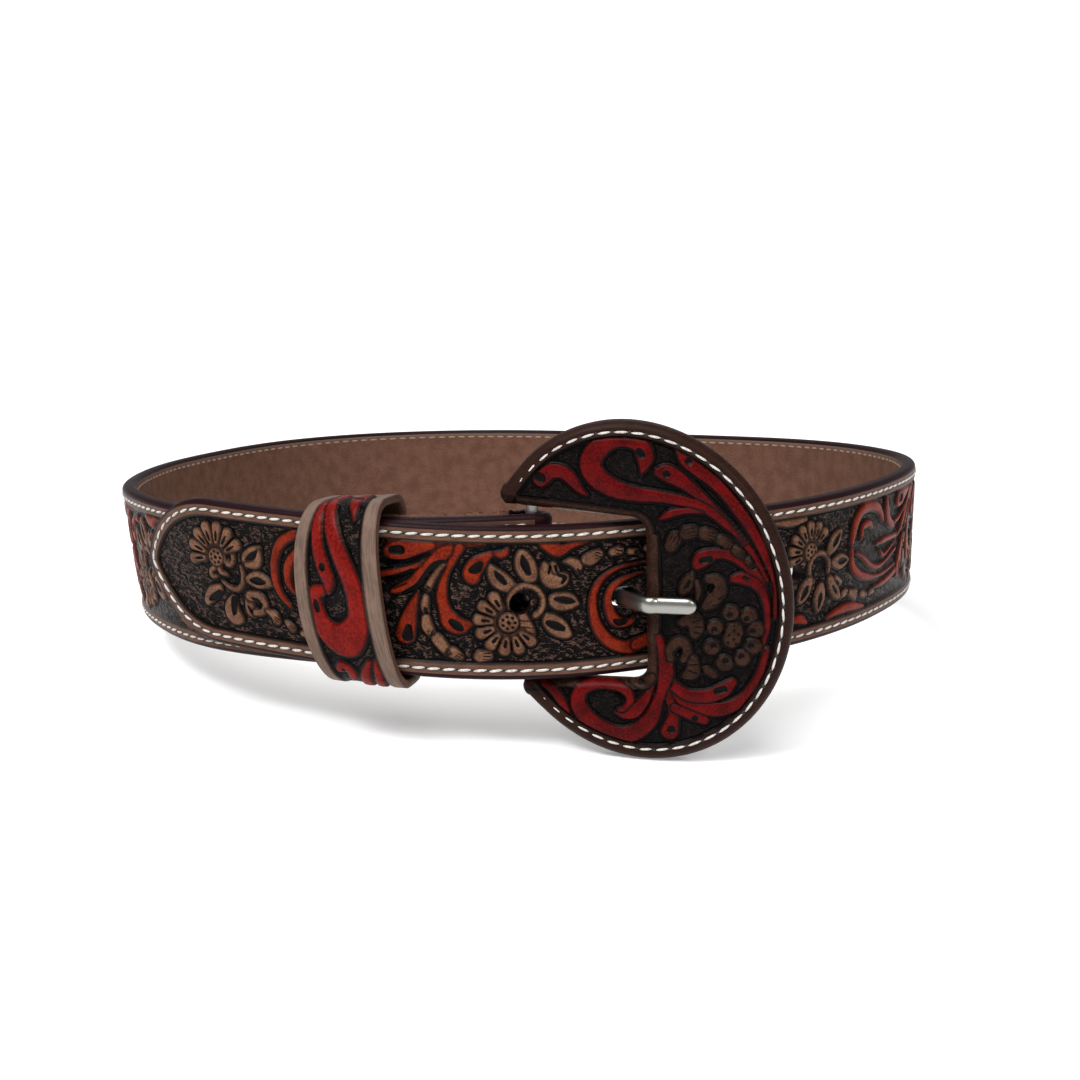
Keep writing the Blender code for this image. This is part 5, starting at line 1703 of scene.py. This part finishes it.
def row_spots(line, outs, pitch, thread, slant=0.0, seed=1):
    """Threads along a line of points in space, and at each stitch hole a dark pit of painted shade."""
    length, wide, tall = thread
    steps = np.linalg.norm(np.diff(line, axis=0), axis=1)
    lengths = np.concatenate(([0.0], np.cumsum(steps)))
    count = int(round(lengths[-1] / pitch))
    noise = np.random.default_rng(seed)
    threads, hole_shades = [], []

    def read(values, s):
        return np.array([np.interp(s, lengths, values[:, c]) for c in range(3)])

    for k in range(count):
        at = (k + 0.5) * lengths[-1] / count
        middle = read(line, at)
        ahead = read(line, at + length / 2) - read(line, at - length / 2)
        ahead /= np.linalg.norm(ahead)
        out = read(outs, at)
        out /= np.linalg.norm(out)
        tilt = slant + noise.normal(0, 0.02)
        turned = ahead * math.cos(tilt) + np.cross(out, ahead) * math.sin(tilt)
        size = (length * noise.uniform(0.94, 1.05), wide, tall)
        threads.append((middle + out * tall * 0.30, turned, out, size))
        hole_shades.append((read(line, at + pitch / 2) - out * HOLE_SINK, ahead, out, HOLE_SHADE_SIZE))
    return threads, hole_shades


def beside(before, after):
    """Direction to the left of an edge."""
    tangent = after - before
    tangent /= np.hypot(*tangent)
    return np.array((-tangent[1], tangent[0]))


def strap_stitch_lines():
    """The stitch rows along the strap's face: lower edge, round the tip, and back along the upper."""
    reach = STRAP_WIDTH / 2 - STITCH_IN * MM
    straight = WHOLE - TIP_TAPER_LENGTH * STITCH_TURN_SHARE
    ways = np.arange(STITCH_FROM, straight, STITCH_STEP)
    # round the tip: the edge line drawn in by the stitch distance
    edge = TIP_EDGE[1:-1]
    corner = []
    for k in range(1, len(edge) - 1):
        spot = edge[k] + beside(edge[k - 1], edge[k + 1]) * STITCH_IN
        if abs(edge_distance(spot[:1], spot[1:])[0] - STITCH_IN) < 0.25:
            corner.append(spot)
    corner = np.array(corner)
    corner = corner[corner[:, 0] < CHART_START - straight / MM - 0.6]
    upper = np.stack((CHART_START - ways / MM, np.full(len(ways), reach / MM)), axis=-1)
    lower = upper[::-1] * (1, -1)
    chart = np.vstack((upper, corner, lower))
    way = (CHART_START - chart[:, 0]) * MM
    thick = np.interp(way, STRAP.ways, STRAP.thick)
    line = STRAP.place(way, chart[:, 1] * MM, thick / 2 - STITCH_SINK)
    return line, STRAP.read(STRAP.out, way)


def buckle_stitch_line():
    """The stitch row inside the crescent's outer edge."""
    outer, inner, _ = crescent_lines(300)
    outer, inner = outer[HORN_STEPS:-HORN_STEPS], inner[HORN_STEPS:-HORN_STEPS]
    row = []
    for k in range(1, len(outer) - 1):
        toward = inner[k] - outer[k]
        inward = beside(outer[k - 1], outer[k + 1])
        if inward @ toward < 0:
            inward = -inward
        if np.hypot(*toward) > (BUCKLE_STITCH_IN + BUCKLE_STITCH_SPARE) * MM:
            row.append(outer[k] + inward * BUCKLE_STITCH_IN * MM)
    row = np.array(row)
    high = BUCKLE_THICKNESS / 2 + BUCKLE_CROWN * BUCKLE_STITCH_CROWN - BUCKLE_STITCH_SINK
    line = PLATE.place(row[:, 0], row[:, 1], np.full(len(row), high))
    return line, np.repeat(np.array(PLATE.out)[None, :], len(line), axis=0)


def build_stitches():
    """The rows on the strap and the buckle, and their backs inside the strap, pulled into the leather."""
    for name, (line, outs), pitch, thread, slant, seed in (
            ("strap", strap_stitch_lines(), STITCH_PITCH * MM, STRAP_THREAD, 0.10, 1),
            ("buckle", buckle_stitch_line(), BUCKLE_STITCH_PITCH * MM, BUCKLE_THREAD, 0.05, 3)):
        threads, hole_shades = row_spots(line, outs, pitch, thread, slant, seed)
        thread_mesh(name + "_stitches", threads, THREAD)
        # each stitch hole is a dark pit of painted shade
        thread_mesh(name + "_stitch_hole_shades", hole_shades, HOLE_SHADE, rings=3)
    ways = np.arange(INSIDE_FROM, OUTLINE.length - INSIDE_TO, STITCH_STEP)
    outs = -STRAP.read(STRAP.out, ways)
    for name, side in (("upper", 1), ("lower", -1)):
        up = np.full(len(ways), side * (STRAP_WIDTH / 2 - STITCH_IN * MM))
        line = STRAP.place(ways, up, np.full(len(ways), -STRAP_THICKNESS / 2 + INSIDE_SINK))
        threads, _ = row_spots(line, outs, STITCH_PITCH * MM, INSIDE_THREAD, seed=5)
        thread_mesh("inside_stitches_" + name, threads, THREAD_DULL)


build_strap()
build_flap()
build_buckle()
build_keeper()
build_tongue()
build_bar()
build_stitches()


# Stage

def floor():
    """White floor with a faint glow."""
    r = FLOOR_REACH
    mesh = bpy.data.meshes.new("floor")
    mesh.from_pydata([(-r, -r, 0), (r, -r, 0), (r, r, 0), (-r, r, 0)], [], [(0, 1, 2, 3)])
    surface = plain("floor_white", (0.88, 0.88, 0.88), 0.9)
    shader = surface.node_tree.nodes["Principled BSDF"]
    shader.inputs["Emission Color"].default_value = (1.0, 1.0, 1.0, 1.0)
    shader.inputs["Emission Strength"].default_value = FLOOR_GLOW
    mesh.materials.append(surface)
    add_object("floor", mesh)


def sky():
    """White world, brighter as a background than as a light."""
    world = bpy.data.worlds.new("studio")
    bpy.context.scene.world = world
    world.use_nodes = True
    tree = world.node_tree
    background = tree.nodes["Background"]
    background.inputs[0].default_value = (1.0, 1.0, 1.0, 1.0)
    seen = tree.nodes.new("ShaderNodeLightPath")
    level = tree.nodes.new("ShaderNodeMapRange")
    level.inputs["To Min"].default_value = SKY_LIGHT
    level.inputs["To Max"].default_value = SKY_SEEN
    tree.links.new(seen.outputs["Is Camera Ray"], level.inputs["Value"])
    tree.links.new(level.outputs[0], background.inputs[1])


def lights():
    """A soft sun and the lamps that give the leather its glints."""
    sun = bpy.data.lights.new("soft_sun", "SUN")
    sun.energy = SUN_POWER
    sun.angle = SUN_SPREAD
    add_object("soft_sun", sun).rotation_euler = SUN_TOWARD.to_track_quat("Z", "Y").to_euler()
    for name, at, aim, size, power in LAMPS:
        light = bpy.data.lights.new(name, "AREA")
        light.shape = "RECTANGLE"
        light.size, light.size_y = size
        light.energy = power
        made = add_object(name, light)
        made.location = at
        made.rotation_euler = (Vector(aim) - Vector(at)).to_track_quat("-Z", "Y").to_euler()


def camera():
    """The photograph's view, fitted in the level loop's frame."""
    data = bpy.data.cameras.new("camera")
    data.sensor_width = 36
    data.lens = CAMERA_LENS
    data.clip_start = 0.01
    ahead = Vector((0, math.cos(CAMERA_PITCH), -math.sin(CAMERA_PITCH)))
    level_up = Vector((0, math.sin(CAMERA_PITCH), math.cos(CAMERA_PITCH)))
    level_right = Vector((1, 0, 0))
    right = level_right * math.cos(CAMERA_ROLL) - level_up * math.sin(CAMERA_ROLL)
    up = level_up * math.cos(CAMERA_ROLL) + level_right * math.sin(CAMERA_ROLL)
    turn = Matrix((right, up, -ahead)).transposed().to_4x4()
    turn.translation = CAMERA_AT
    made = add_object("camera", data)
    made.matrix_world = BASE @ turn
    bpy.context.scene.camera = made


floor()
sky()
lights()
camera()
bpy.context.scene.view_settings.view_transform = "Standard"

bpy.context.view_layer.update()
